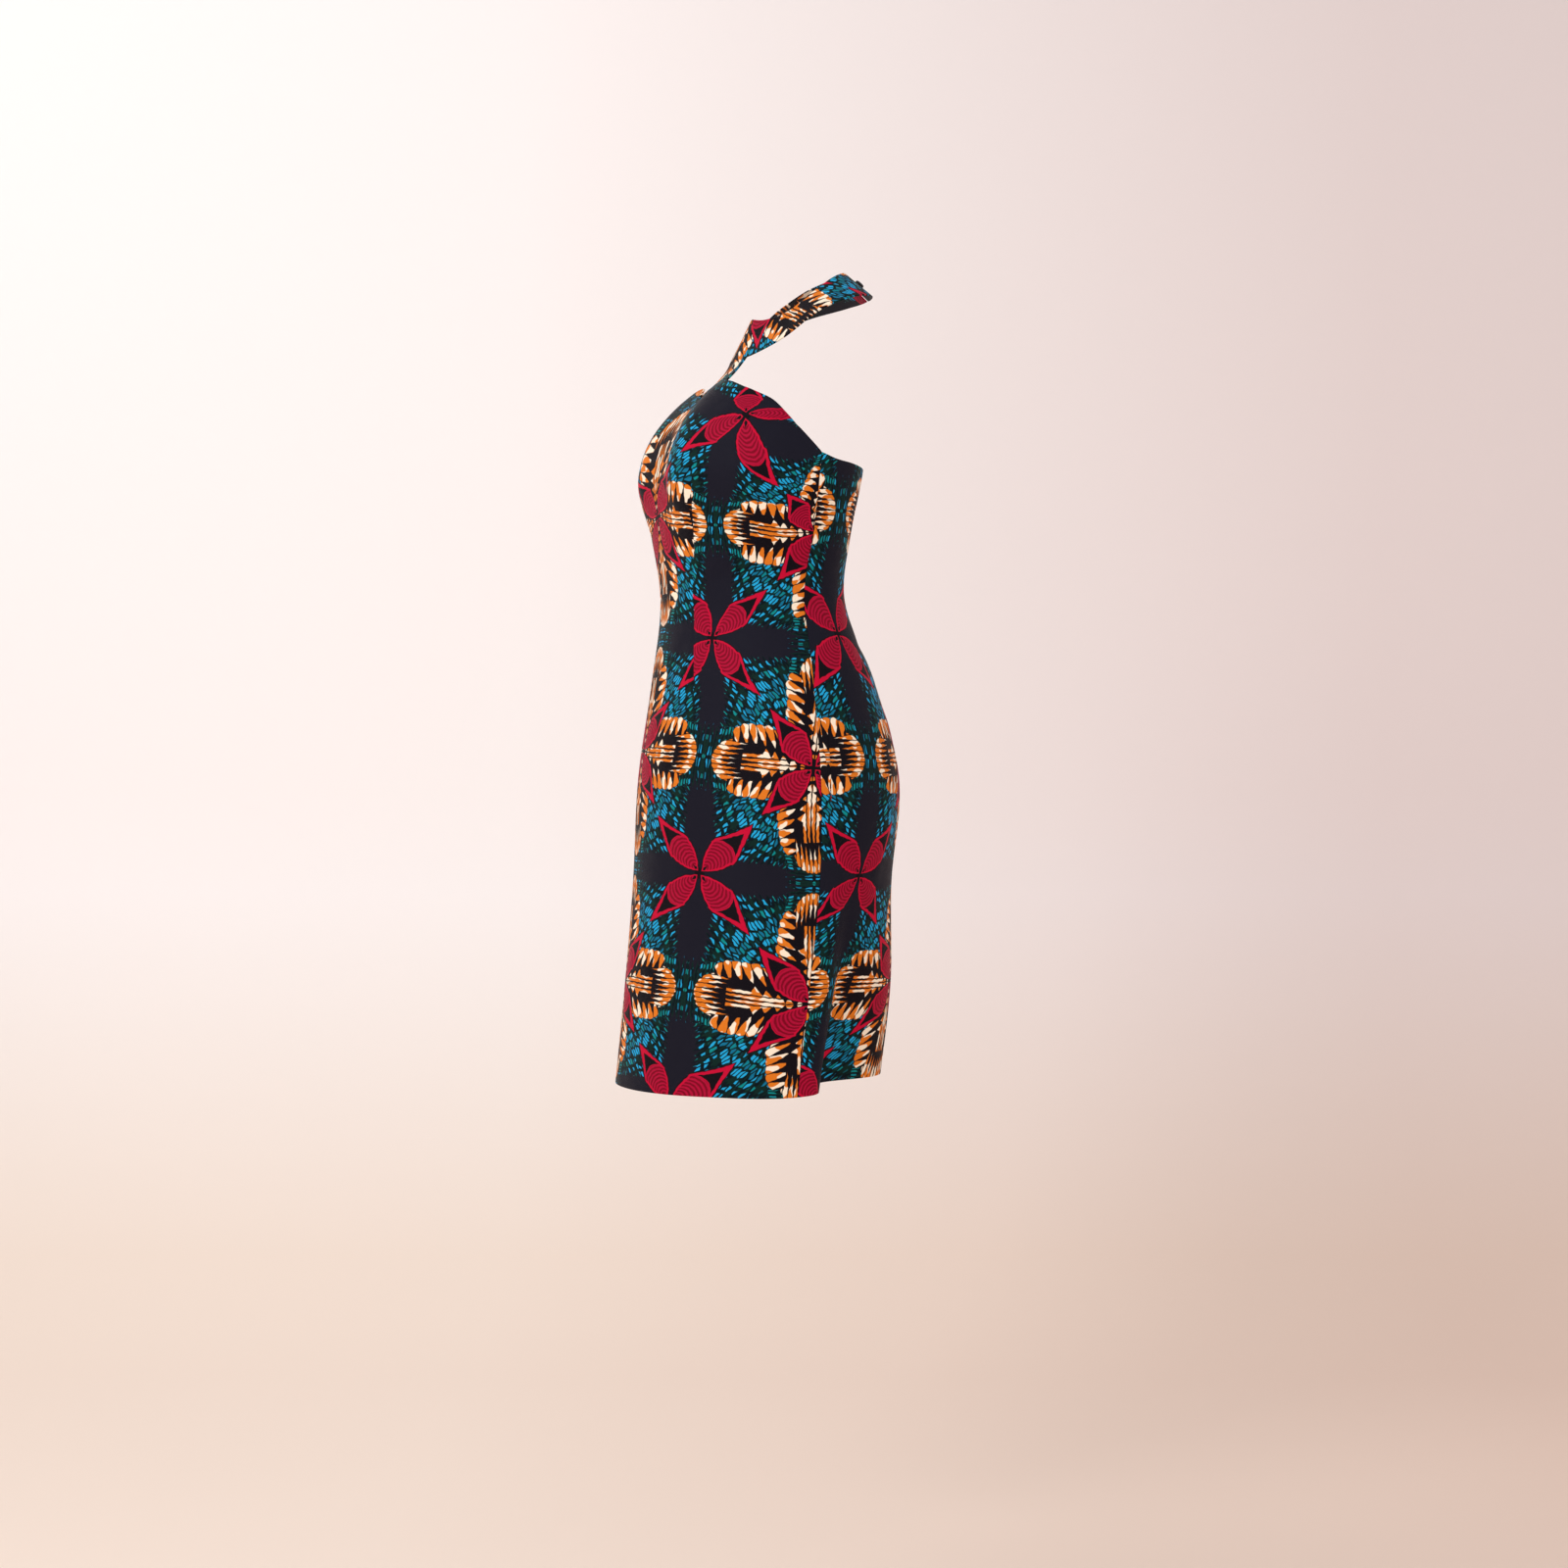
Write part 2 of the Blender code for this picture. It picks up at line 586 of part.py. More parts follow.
def main():
    for item in list(bpy.data.objects):
        bpy.data.objects.remove(item)
    collection = bpy.data.collections.new(COLLECTION)
    bpy.context.scene.collection.children.link(collection)

    front_cloth = make_material("front", (0.05, 0.22, 0.24), 0.55)
    back_left_cloth = make_material("back_left", (0.06, 0.25, 0.26), 0.55)
    back_right_cloth = make_material("back_right", (0.05, 0.20, 0.22), 0.55)
    collar_cloth = make_material("collar", (0.55, 0.25, 0.08), 0.55)
    tape = make_material("zip_tape", (0.02, 0.03, 0.04), 0.80)
    slider_metal = make_material("zip_slider", (0.03, 0.03, 0.035), 0.35, 0.6)
    pull_metal = make_material("zip_pull", (0.03, 0.03, 0.035), 0.35, 0.6)
    button_plastic = make_material("button", (0.015, 0.014, 0.018), 0.30)
    cord = make_material("button_loop", (0.02, 0.02, 0.025), 0.70)

    make_panel("front", front_places(), collection, front_cloth)
    make_panel("back_left", back_places("left"), collection, back_left_cloth)
    make_panel("back_right", back_places("right"), collection, back_right_cloth)
    make_collar(collection, collar_cloth)
    make_zip_tape(collection, tape)
    make_zip_slider(collection, slider_metal)
    make_zip_pull(collection, pull_metal)
    make_button(collection, button_plastic)
    make_loop(collection, cord)


main()
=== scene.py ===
"""Looks of the printed halter dress: cloth shells on the solids' own forms, print, sewing and studio.

Metres, +Z up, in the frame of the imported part.  The wearer faces -Y and their left is +X.
"""
import math

import bpy
import numpy as np
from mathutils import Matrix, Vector


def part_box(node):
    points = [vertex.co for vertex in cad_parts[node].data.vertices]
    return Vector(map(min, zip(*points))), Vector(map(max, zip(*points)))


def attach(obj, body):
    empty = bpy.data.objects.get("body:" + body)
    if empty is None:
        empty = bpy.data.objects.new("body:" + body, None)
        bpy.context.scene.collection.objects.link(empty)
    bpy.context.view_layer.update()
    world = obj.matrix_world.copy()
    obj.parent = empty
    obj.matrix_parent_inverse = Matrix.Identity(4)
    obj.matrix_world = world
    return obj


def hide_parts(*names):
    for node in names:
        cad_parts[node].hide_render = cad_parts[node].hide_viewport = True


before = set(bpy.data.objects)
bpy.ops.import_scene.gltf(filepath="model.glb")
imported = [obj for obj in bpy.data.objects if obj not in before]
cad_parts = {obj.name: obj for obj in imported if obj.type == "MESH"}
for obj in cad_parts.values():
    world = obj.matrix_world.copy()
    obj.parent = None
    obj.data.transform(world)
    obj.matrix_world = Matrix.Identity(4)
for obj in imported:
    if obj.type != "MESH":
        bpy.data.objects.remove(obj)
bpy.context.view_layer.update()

# ---------------- the dress's form
SECTION_COLUMNS = ("z", "half_width", "front_depth", "back_depth", "front_square",
                   "back_square", "side_y", "turn", "cup", "side_seam")
SECTIONS = (
    (-0.889, 0.163, 0.1510, 0.146, 0.02, 0.04, -0.055, 8.0, 0.000, 99.0),    # hem
    (-0.768, 0.166, 0.1480, 0.149, 0.01, 0.04, -0.046, 8.0, 0.000, 100.5),   # thigh
    (-0.658, 0.168, 0.1470, 0.140, 0.00, 0.04, -0.038, 8.0, 0.000, 102.5),   # below the seat
    (-0.537, 0.168, 0.1465, 0.142, 0.00, 0.04, -0.032, 8.0, 0.000, 100.5),   # hip
    (-0.438, 0.154, 0.1300, 0.116, 0.02, 0.06, -0.034, 6.0, 0.000, 98.5),    # high hip
    (-0.339, 0.130, 0.1025, 0.093, 0.05, 0.10, -0.050, 1.5, 0.000, 101.0),   # waist
    (-0.273, 0.145, 0.1045, 0.100, 0.08, 0.12, -0.053, 0.0, 0.002, 103.5),   # under the bust
    (-0.201, 0.156, 0.1045, 0.112, 0.12, 0.16, -0.053, 0.0, 0.015, 103.5),   # bust
    (-0.152, 0.149, 0.0950, 0.107, 0.12, 0.16, -0.044, 0.0, 0.015, 103.5),   # upper bust
    (-0.118, 0.142, 0.0780, 0.100, 0.10, 0.16, -0.033, 0.0, 0.013, 103.5),   # top of the cups
    (-0.090, 0.136, 0.0500, 0.090, 0.08, 0.16, -0.030, 0.0, 0.007, 103.5),
)
SECTION = dict(zip(SECTION_COLUMNS, np.array(SECTIONS).T))
CUP_CENTRE = 0.076
CUP_HALF_WIDTH = 0.044
CENTRE_BACK = 180.0
# The top edges and the hem.  Columns: angle, z.
FRONT_TOP_EDGE = ((0.0, -0.1215), (6.0, -0.1125), (12.0, -0.1045), (18.0, -0.1020), (26.0, -0.1040),
                  (36.0, -0.1085), (48.0, -0.1165), (60.0, -0.1265), (72.0, -0.1375), (84.0, -0.1555),
                  (92.0, -0.1705), (103.5, -0.1930))
# The left cup's edge sags a little as worn, which shows the strap down to the front's point.
LEFT_EDGE_DROP = ((0.0, 0.0), (6.0, 0.0035), (12.0, 0.0058), (18.0, 0.0055), (26.0, 0.0036),
                  (36.0, 0.0030), (48.0, 0.0036), (60.0, 0.0020), (72.0, 0.0008), (84.0, 0.0))
BACK_TOP_EDGE = ((103.5, -0.1930), (112.0, -0.1985), (125.0, -0.2015), (180.0, -0.2030))
HEM_EDGE = ((0.0, -0.8800), (60.0, -0.8800), (99.0, -0.8805), (112.0, -0.8780),
            (130.0, -0.8730), (180.0, -0.8710))
# Deep folds that grow towards the hem.  Columns: angle, z of the top, depth at the hem, and the
# width in degrees towards the front and towards the back.
FOLDS = ((121.0, -0.600, 0.060, 8.0, 30.0), (-132.0, -0.640, 0.020, 18.0, 20.0))
FOLD_POWER = 1.6
NECK_HALF_WIDTH = 0.055
NECK_HALF_DEPTH = 0.053
COLLAR_COLUMNS = ("angle", "z", "width", "slope")
COLLAR = (
    (0.0, -0.0290, 0.0510, 66.0),
    (30.0, -0.0330, 0.0480, 60.0),
    (60.0, -0.0260, 0.0460, 48.0),
    (90.0, -0.0040, 0.0430, 33.0),
    (120.0, 0.0150, 0.0430, 35.0),
    (150.0, 0.0240, 0.0420, 40.0),
    (180.0, 0.0270, 0.0425, 41.0),
)
BAND = dict(zip(COLLAR_COLUMNS, np.array(COLLAR).T))
COLLAR_OPENING = 0.0036
STRAP_FLARE_HALF_WIDTH = 0.0300
STRAP_TUCK_HALF_WIDTH = 0.0235
# The strap below the collar.  Columns: y and z of its middle, half width, and how much it bows.
STRAP_PATH = (
    (-0.0755, -0.0820, 0.0275, 2.4),
    (-0.0805, -0.0890, 0.0265, 2.2),
    (-0.0880, -0.0975, 0.0260, 2.0),
)
STRAP_TUCK_DROP = (0.0, 0.010, 0.020, 0.032)     # below the front's top edge
STRAP_TUCK_GAP = 0.0009
PANEL_WALL = 0.0015
SEAM_GAP = 0.0003
SHOWN_SEAM_GAP = 0.00002    # the panels meet at a seam, so that no light comes through it

# ---------------- cloth and sewing
CLOTH = 0.0007              # one layer of cotton
TURNED = 0.0016             # outer face to the face of what is turned in
HEM_TURN = 0.030
ALLOWANCE = 0.012           # cloth beyond a seam, pressed open inside
TOP_TURN = 0.010
EDGE_ROUND = 0.0008
EDGE_TURNS = (40.0, 90.0, 140.0, 180.0)     # degrees at which a rounded edge has its rows
HEM_ROWS = 8                # rows of what is turned in at the hem
TOP_ROWS = 3
PLACE_LEVELS = 120          # levels at which a panel's edges are sought
PLACE_PASSES = 4
CELL = 0.0042               # size of a face of the cloth
SEAM_DISTANCES = (0.0, 0.0004, 0.0010, 0.0020)
SEAM_SINK = 0.0007

# The long waist darts of the front, on both sides.  Columns: z, angle, cloth taken in.
DART = (
    (-0.2000, 38.2, 0.000),
    (-0.2120, 37.1, 0.002),
    (-0.2639, 32.6, 0.014),
    (-0.3353, 30.2, 0.023),
    (-0.3910, 34.5, 0.022),
    (-0.4317, 38.1, 0.009),
    (-0.4582, 40.0, 0.000),
)
DART_ANGLE, DART_TAKEN = 1, 2       # columns of the table
WAIST_Z = -0.335
DART_WAIST_ANGLE = 30.2
DART_PULL = 0.16            # how far it draws columns to itself, as a share of the front's width
DART_SINK = 0.0007
DART_FULL = 0.006           # cloth taken in where a dart is sunk to its full depth
DART_WIDTH = 0.0018


def table_value(table, which, at, by=0):
    """A table's column read at a place, with straight stretches between its rows."""
    rows = np.array(table)
    rows = rows[np.argsort(rows[:, by])]
    return np.interp(at, rows[:, by], rows[:, which])


def smooth_step(share):
    share = np.clip(share, 0.0, 1.0)
    return share * share * (3.0 - 2.0 * share)


def eased(places, values, at):
    """A smooth curve through a table's column, read at one or many places."""
    slopes = np.gradient(values, places)
    index = np.clip(np.searchsorted(places, at) - 1, 0, len(places) - 2)
    span = places[index + 1] - places[index]
    f = np.clip((at - places[index]) / span, 0.0, 1.0)
    start = (2 * f ** 3 - 3 * f ** 2 + 1) * values[index]
    leave = (f ** 3 - 2 * f ** 2 + f) * span * slopes[index]
    end = (3 * f ** 2 - 2 * f ** 3) * values[index + 1]
    arrive = (f ** 3 - f ** 2) * span * slopes[index + 1]
    return start + leave + end + arrive


def section_value(name, z):
    return eased(SECTION["z"], SECTION[name], z)


def collar_value(name, degrees):
    return eased(BAND["angle"], BAND[name], np.abs(degrees))


def edge_height(edge, degrees):
    height = eased(*np.array(edge).T, np.abs(degrees))
    if edge is FRONT_TOP_EDGE:
        height = height - np.interp(degrees, *np.array(LEFT_EDGE_DROP).T)
    return height


def fold_depth(degrees, z):
    total = 0.0
    hem = SECTIONS[0][0]
    for angle, top_z, depth, front_width, back_width in FOLDS:
        away = (degrees - angle) * math.copysign(1.0, angle)
        width = np.where(away < 0.0, front_width, back_width)
        fall = np.clip((top_z - z) / (top_z - hem), 0.0, 1.0) ** FOLD_POWER
        total = total + depth * fall * np.exp(-(away / width) ** 2)
    return total


def body_points(degrees, z):
    """Points of the dress tube's outer face, with x, y, z last."""
    degrees, z = np.broadcast_arrays(np.asarray(degrees, float), np.asarray(z, float))
    sine, cosine = np.sin(np.radians(degrees)), np.cos(np.radians(degrees))
    in_front = cosine > 0.0
    depth = np.where(in_front, section_value("front_depth", z), section_value("back_depth", z))
    square = np.where(in_front, section_value("front_square", z), section_value("back_square", z))
    x = section_value("half_width", z) * sine * (1 + square * cosine ** 2)
    y = -depth * cosine * (1 + square * sine ** 2)
    cup = section_value("cup", z) * np.exp(-((np.abs(x) - CUP_CENTRE) / CUP_HALF_WIDTH) ** 2)
    y = y - np.where(in_front, cup, 0.0)
    drawn_in = 1.0 - fold_depth(degrees, z) / np.hypot(x, y)
    x, y = x * drawn_in, y * drawn_in
    turn = np.radians(section_value("turn", z))
    turned_x = x * np.cos(turn) + y * np.sin(turn)
    turned_y = y * np.cos(turn) - x * np.sin(turn)
    return np.stack([turned_x, turned_y + section_value("side_y", z), z], axis=-1)


def body_normals(degrees, z):
    angle_step, height_step = 0.05, 0.0002
    around = body_points(degrees + angle_step, z) - body_points(degrees - angle_step, z)
    up = body_points(degrees, z + height_step) - body_points(degrees, z - height_step)
    normals = np.cross(around, up)
    return normals / np.linalg.norm(normals, axis=-1, keepdims=True)


def degrees_for(distance, degrees, z):
    """The angle that spans a distance of cloth at a place on the tube."""
    chord = body_points(degrees + 0.5, z) - body_points(degrees - 0.5, z)
    return distance / np.linalg.norm(chord, axis=-1)


def collar_points(degrees, down):
    degrees = np.asarray(degrees, float)
    width = collar_value("width", degrees)
    slope = np.radians(collar_value("slope", degrees))
    sine, cosine = np.sin(np.radians(degrees)), np.cos(np.radians(degrees))
    reach = down * width * np.cos(slope)
    x = (NECK_HALF_WIDTH + reach) * sine
    y = -(NECK_HALF_DEPTH + reach) * cosine
    return np.stack([x, y, collar_value("z", degrees) - down * width * np.sin(slope)], axis=-1)


def seam_angle(seam, z):
    if seam.startswith("centre"):
        return np.full_like(z, CENTRE_BACK if seam.endswith("left") else -CENTRE_BACK)
    return section_value("side_seam", z) * (1.0 if seam.endswith("left") else -1.0)


# ---------------- where the print lies
REPEAT = 0.254              # the print's repeat, both ways
ROW_STEP = REPEAT / 2
DIAGONAL = math.sqrt(0.5)
ARC_POINTS = 1441
ARC_DEGREES = np.linspace(-CENTRE_BACK, CENTRE_BACK, ARC_POINTS)
ARC_LEVELS = 160
ARC_MARGIN = 0.001          # how far the levels go past the highest and the lowest place

# How far the print is shifted round the front at a height.  Columns: z, and the shift of the
# print at the distances in SHIFT_ARCS: centre front, just behind the dart, near the side seam.
PRINT_SHIFT = (
    (-0.1000, 0.009, -0.0160, -0.0480),
    (-0.1530, 0.009, -0.0185, -0.0325),
    (-0.2650, 0.009, -0.0035, 0.0140),
    (-0.3353, 0.003, -0.0050, 0.0060),
    (-0.3910, -0.003, -0.0057, 0.0000),
    (-0.5100, -0.006, -0.0135, -0.0105),
    (-0.6398, -0.005, -0.0175, -0.0160),
    (-0.7672, 0.011, -0.0045, -0.0180),
    (-0.8794, 0.014, 0.0025, -0.0160),
)
SHIFT_ARCS = (0.0, 0.115, 0.225)

# Heights of the print's half rows.  Columns: half rows down, and z at the distances in ROW_ARCS.
ROW_ARCS = (0.0, 0.120, 0.225)
PRINT_ROWS = (
    (-2.0, 0.0000, -0.0250, -0.0600),
    (-1.0, -0.1220, -0.1465, -0.1690),
    (0.0, -0.2515, -0.2690, -0.2775),
    (1.0, -0.3850, -0.3910, -0.4000),
    (2.0, -0.5110, -0.5165, -0.5280),
    (3.0, -0.6370, -0.6400, -0.6500),
    (4.0, -0.7650, -0.7660, -0.7775),
    (5.0, -0.8840, -0.8880, -0.8960),
    (6.0, -1.0100, -1.0150, -1.0200),
)
BACK_ROWS = ((-1.0, -0.1270), (0.0, -0.2528), (1.0, -0.3850), (2.0, -0.5190), (3.0, -0.6460),
             (4.0, -0.7650), (5.0, -0.8880), (6.0, -1.0150))

# How many times its length the last stretch of each table goes on for.
SHIFT_BEYOND = 1.4
ROW_BEYOND = 1.3

# Places where the print is turned and spread by the shaping.  Columns: distance and height in
# the print, degrees it is turned clockwise, spread, and how far that reaches.
LOCAL_TURNS = ((0.254, 0.000, -7.0, 1.00, 0.060), (0.127, -0.635, 12.0, 1.05, 0.070))

# Places where a motif is drawn wider by the shaping.  Columns: distance and height in the print,
# how much wider and taller, and how far that reaches.
LOCAL_SPREADS = ((0.127, -0.381, 1.16, 1.02, 0.100),)

# Places where the cloth is eased along.  Columns: distance and height in the print, how far the
# print moves there, across and up, and how far that reaches.
LOCAL_SHIFTS = ((0.228, 0.058, 0.021, -0.005, 0.045),)

# On the cup's upper slope the print leans and closes up.  Centre in the print, reach, how much
# each metre across adds, and how much each metre down and each metre up adds, as (u, v).
CUP_CENTRE_IN_PRINT = (0.127, 0.127)
CUP_REACH = 0.092
CUP_ACROSS = (-0.02, 0.30)
CUP_DOWN = (0.181, -0.180)
CUP_UP = (-1.008, 0.850)
# The petal towards centre front is drawn narrow there: by how much, over what width, and how far
# from the flower's centre that starts.
CUP_SQUEEZE = (0.60, 0.030, 0.020)
CUP_BLEND = (-0.006, 0.022)         # where down gives way to up: start from the centre, and height

# How far in front of the side seam a column of the back's print lies.  Columns: z, distance.
BACK_COLUMN = ((-0.2500, 0.0900), (-0.3850, 0.0860), (-0.4500, 0.0700), (-0.5235, 0.0560),
               (-0.6404, 0.0710), (-0.7600, 0.0920), (-0.8865, 0.0970))
CENTRE_BACK_PRINT = 0.300           # the print's distance at the centre back seam, along the grain
BACK_POWER = 3                      # how late on its way there the print comes to the grain


def arcs_from_front(z):
    """Distances of cloth from centre front, by angle, at one height."""
    points = body_points(ARC_DEGREES, np.full(ARC_POINTS, z))
    steps = np.linalg.norm(np.diff(points, axis=0), axis=-1)
    along = np.concatenate([[0.0], np.cumsum(steps)])
    return along - along[ARC_POINTS // 2]


def arc_table(degrees, z):
    """Arc from centre front for arrays of places, read between levels."""
    levels = np.linspace(z.min() - ARC_MARGIN, z.max() + ARC_MARGIN, ARC_LEVELS)
    table = np.array([arcs_from_front(level) for level in levels])
    column_at = (degrees + CENTRE_BACK) / (2 * CENTRE_BACK) * (ARC_POINTS - 1)
    row_at = (z - levels[0]) / (levels[1] - levels[0])
    c = np.clip(np.floor(column_at).astype(int), 0, ARC_POINTS - 2)
    r = np.clip(np.floor(row_at).astype(int), 0, ARC_LEVELS - 2)
    fc, fr = column_at - c, row_at - r
    return ((table[r, c] * (1 - fc) + table[r, c + 1] * fc) * (1 - fr)
            + (table[r + 1, c] * (1 - fc) + table[r + 1, c + 1] * fc) * fr)


def print_height(arc, z):
    """The print's own height at a place on the front: rows of motifs lie at whole steps."""
    first, second, third = (table_value(PRINT_ROWS, 0, z, by=1 + i) for i in range(3))
    middle, side = ROW_ARCS[1:]
    near = np.clip(np.abs(arc) / middle, 0.0, 1.0)
    far = np.clip((np.abs(arc) - middle) / (side - middle), 0.0, ROW_BEYOND)
    return -ROW_STEP * (first + (second - first) * near + (third - second) * far)


def bell(du, dv, reach):
    """1 at a place, and less and less away from it."""
    return np.exp(-(np.hypot(du, dv) / reach) ** 2)


def plateau(du, dv, reach):
    """1 all round a place, and quickly 0 beyond the reach."""
    return 1.0 / (1.0 + (np.hypot(du, dv) / reach) ** 8)


def cup_print(u, v):
    """Lean and close up the print on the cup's upper slope."""
    du, dv = u - CUP_CENTRE_IN_PRINT[0], v - CUP_CENTRE_IN_PRINT[1]
    share = plateau(du, dv, CUP_REACH)
    start, height = CUP_BLEND
    upper = smooth_step((dv - start) / height)
    u_lean, v_lean = (down + (up - down) * upper for down, up in zip(CUP_DOWN, CUP_UP))
    u = u + share * (CUP_ACROSS[0] * du + u_lean * dv)
    v = v + share * (CUP_ACROSS[1] * du + v_lean * dv)
    du, dv = u - CUP_CENTRE_IN_PRINT[0], v - CUP_CENTRE_IN_PRINT[1]
    along, off_axis = -(du + dv) * DIAGONAL, (dv - du) * DIAGONAL
    amount, width, start = CUP_SQUEEZE
    moved = off_axis * share * amount * np.clip(along / start, 0.0, 1.0) * np.exp(-(off_axis / width) ** 2)
    return u - moved * DIAGONAL, v + moved * DIAGONAL


def turned_print(u, v):
    """Turn, move and spread the print where the shaping does."""
    for at_u, at_v, degrees, spread, reach in LOCAL_TURNS:
        du, dv = u - at_u, v - at_v
        share = bell(du, dv, reach)
        angle = np.radians(degrees) * share
        size = 1.0 + (1.0 / spread - 1.0) * share
        u, v = (at_u + size * (du * np.cos(angle) - dv * np.sin(angle)),
                at_v + size * (du * np.sin(angle) + dv * np.cos(angle)))
    for at_u, at_v, across, up, reach in LOCAL_SHIFTS:
        share = bell(u - at_u, v - at_v, reach)
        u, v = u - across * share, v - up * share
    for at_u, at_v, wider, taller, reach in LOCAL_SPREADS:
        du, dv = u - at_u, v - at_v
        share = plateau(du, dv, reach)
        u, v = u + share * (1.0 / wider - 1.0) * du, v + share * (1.0 / taller - 1.0) * dv
    return cup_print(u, v)


def front_print(degrees, z, beyond_dart=True):
    """The front's place in the print.  Cloth taken in by a dart moves the print beyond it."""
    arc = arc_table(degrees, z)
    away = np.abs(arc)
    at_front, at_dart, at_side = (table_value(PRINT_SHIFT, 1 + i, z) for i in range(3))
    middle, side = SHIFT_ARCS[1:]
    inner = (at_dart - at_front) * np.clip(away / middle, 0.0, 1.0)
    outer = (at_side - at_dart) * np.clip((away - middle) / (side - middle), 0.0, SHIFT_BEYOND)
    stretch = inner + outer + np.where(beyond_dart, table_value(DART, DART_TAKEN, z), 0.0)
    u, v = turned_print(away + stretch + at_front * np.sign(arc), print_height(arc, z))
    return u * np.sign(arc), v


def back_print(degrees, z):
    """The left back's print meets the side seam as worn.  The right back's goes on from it, so
    that the print matches at the centre back seam."""
    side = np.sign(degrees)
    seam = np.abs(arc_table(side * section_value("side_seam", z), z))
    width = np.abs(arc_table(side * CENTRE_BACK, z)) - seam
    beyond = np.abs(arc_table(degrees, z)) - seam
    at_side = table_value(BACK_COLUMN, 1, z)
    share = np.clip(beyond / width, 0.0, 1.0) ** BACK_POWER
    on_left = beyond + at_side + share * (CENTRE_BACK_PRINT - at_side - width)
    across = np.where(side > 0.0, on_left, CENTRE_BACK_PRINT + width - beyond)
    return across, -ROW_STEP * table_value(BACK_ROWS, 0, z, by=1)


# ---------------- creases
# Soft troughs and ridges.  Columns: angle, z, half length, half width, height, and how far the
# crease leans, in degrees from the upright.
CREASES = (
    (64.0, -0.318, 0.050, 0.010, -0.0013, 74.0),
    (84.0, -0.346, 0.045, 0.011, 0.0012, 82.0),
    (60.0, -0.372, 0.040, 0.009, -0.0010, -70.0),
    (20.0, -0.352, 0.045, 0.010, 0.0009, 66.0),
    (22.0, -0.425, 0.055, 0.012, -0.0011, 34.0),
    (80.0, -0.452, 0.060, 0.013, 0.0014, 24.0),
    (66.0, -0.555, 0.085, 0.014, -0.0012, 12.0),
    (34.0, -0.690, 0.105, 0.018, -0.0016, 4.0),
    (78.0, -0.765, 0.090, 0.016, 0.0015, -7.0),
    (8.0, -0.800, 0.080, 0.017, 0.0013, 3.0),
    (108.0, -0.545, 0.080, 0.011, -0.0022, -9.0),
    (141.0, -0.585, 0.090, 0.016, 0.0016, 8.0),
    (158.0, -0.392, 0.045, 0.010, -0.0014, 76.0),
    (150.0, -0.470, 0.050, 0.012, 0.0012, -66.0),
    (72.0, -0.172, 0.030, 0.008, -0.0009, 58.0),
    (46.0, -0.150, 0.028, 0.009, 0.0008, 24.0),
    (-58.0, -0.326, 0.052, 0.011, -0.0012, -72.0),
    (-86.0, -0.356, 0.046, 0.010, 0.0013, -80.0),
    (-30.0, -0.410, 0.050, 0.012, -0.0010, -40.0),
    (-74.0, -0.470, 0.062, 0.013, 0.0013, -18.0),
    (-52.0, -0.600, 0.090, 0.015, -0.0013, -9.0),
    (-30.0, -0.740, 0.095, 0.018, 0.0014, 5.0),
    (-84.0, -0.790, 0.080, 0.015, -0.0015, 6.0),
    (-118.0, -0.560, 0.085, 0.013, -0.0018, 11.0),
    (-150.0, -0.640, 0.090, 0.016, 0.0014, -6.0),
    (-156.0, -0.398, 0.045, 0.010, -0.0013, -74.0),
    (-68.0, -0.176, 0.030, 0.008, -0.0008, -60.0),
)
CREASE_BEND = 1.6
CREASE_METRES = 0.0027          # cloth to one degree, near enough for a crease


def crease_height(degrees, z):
    height = np.zeros_like(z)
    for angle, at_z, half_length, half_width, lift, lean in CREASES:
        x, y = (degrees - angle) * CREASE_METRES, z - at_z
        cosine, sine = math.cos(math.radians(lean)), math.sin(math.radians(lean))
        along = y * cosine + x * sine
        across = x * cosine - y * sine + CREASE_BEND * along ** 2
        height += lift * np.exp(-(across / half_width) ** 2 - (along / half_length) ** 2)
    return height


# ---------------- meshes
def new_piece(name, points, faces, materials, loops_uv=None):
    mesh = bpy.data.meshes.new(name)
    mesh.from_pydata([tuple(map(float, p)) for p in np.asarray(points).reshape(-1, 3)], [], faces)
    mesh.shade_smooth()
    if loops_uv is not None:
        layer = mesh.uv_layers.new(name="cloth")
        layer.uv.foreach_set("vector", np.asarray(loops_uv, np.float32).ravel())
    item = bpy.data.objects.new(name, mesh)
    bpy.context.scene.collection.objects.link(item)
    for material in materials:
        mesh.materials.append(material)
    return item


def grid_faces(rows, columns):
    corner = (np.arange(rows - 1)[:, None] * columns + np.arange(columns - 1)[None, :]).ravel()
    return np.stack([corner, corner + 1, corner + columns + 1, corner + columns], axis=-1)


def grid_uv(faces, u_low, u_high, v):
    """UVs for each corner: a face's right-hand corners take u_low, its left-hand ones u_high."""
    u_low, u_high, v = u_low.ravel(), u_high.ravel(), v.ravel()
    u = np.stack([u_high[faces[:, 0]], u_low[faces[:, 1]], u_low[faces[:, 2]], u_high[faces[:, 3]]],
                 axis=-1)
    return np.stack([u, v[faces]], axis=-1)


def wall(item, thickness, inside_slot=1):
    step = item.modifiers.new("wall", "SOLIDIFY")
    step.thickness = thickness
    step.offset = -1.0
    step.use_even_offset = False
    step.material_offset = inside_slot
    step.material_offset_rim = 0
    return item


def applied(item):
    """Apply an object's modifiers to its mesh."""
    depsgraph = bpy.context.evaluated_depsgraph_get()
    mesh = bpy.data.meshes.new_from_object(item.evaluated_get(depsgraph))
    item.modifiers.clear()
    item.data = mesh
    mesh.name = item.name
    return item


def across_shares(width):
    """Shares of a panel's width, close together at its seams."""
    near = np.array(SEAM_DISTANCES)
    count = int(round((width - 2 * near[-1]) / CELL))
    middle = np.linspace(near[-1], width - near[-1], count + 1)
    return np.concatenate([near[:-1], middle, width - near[:-1][::-1]]) / width


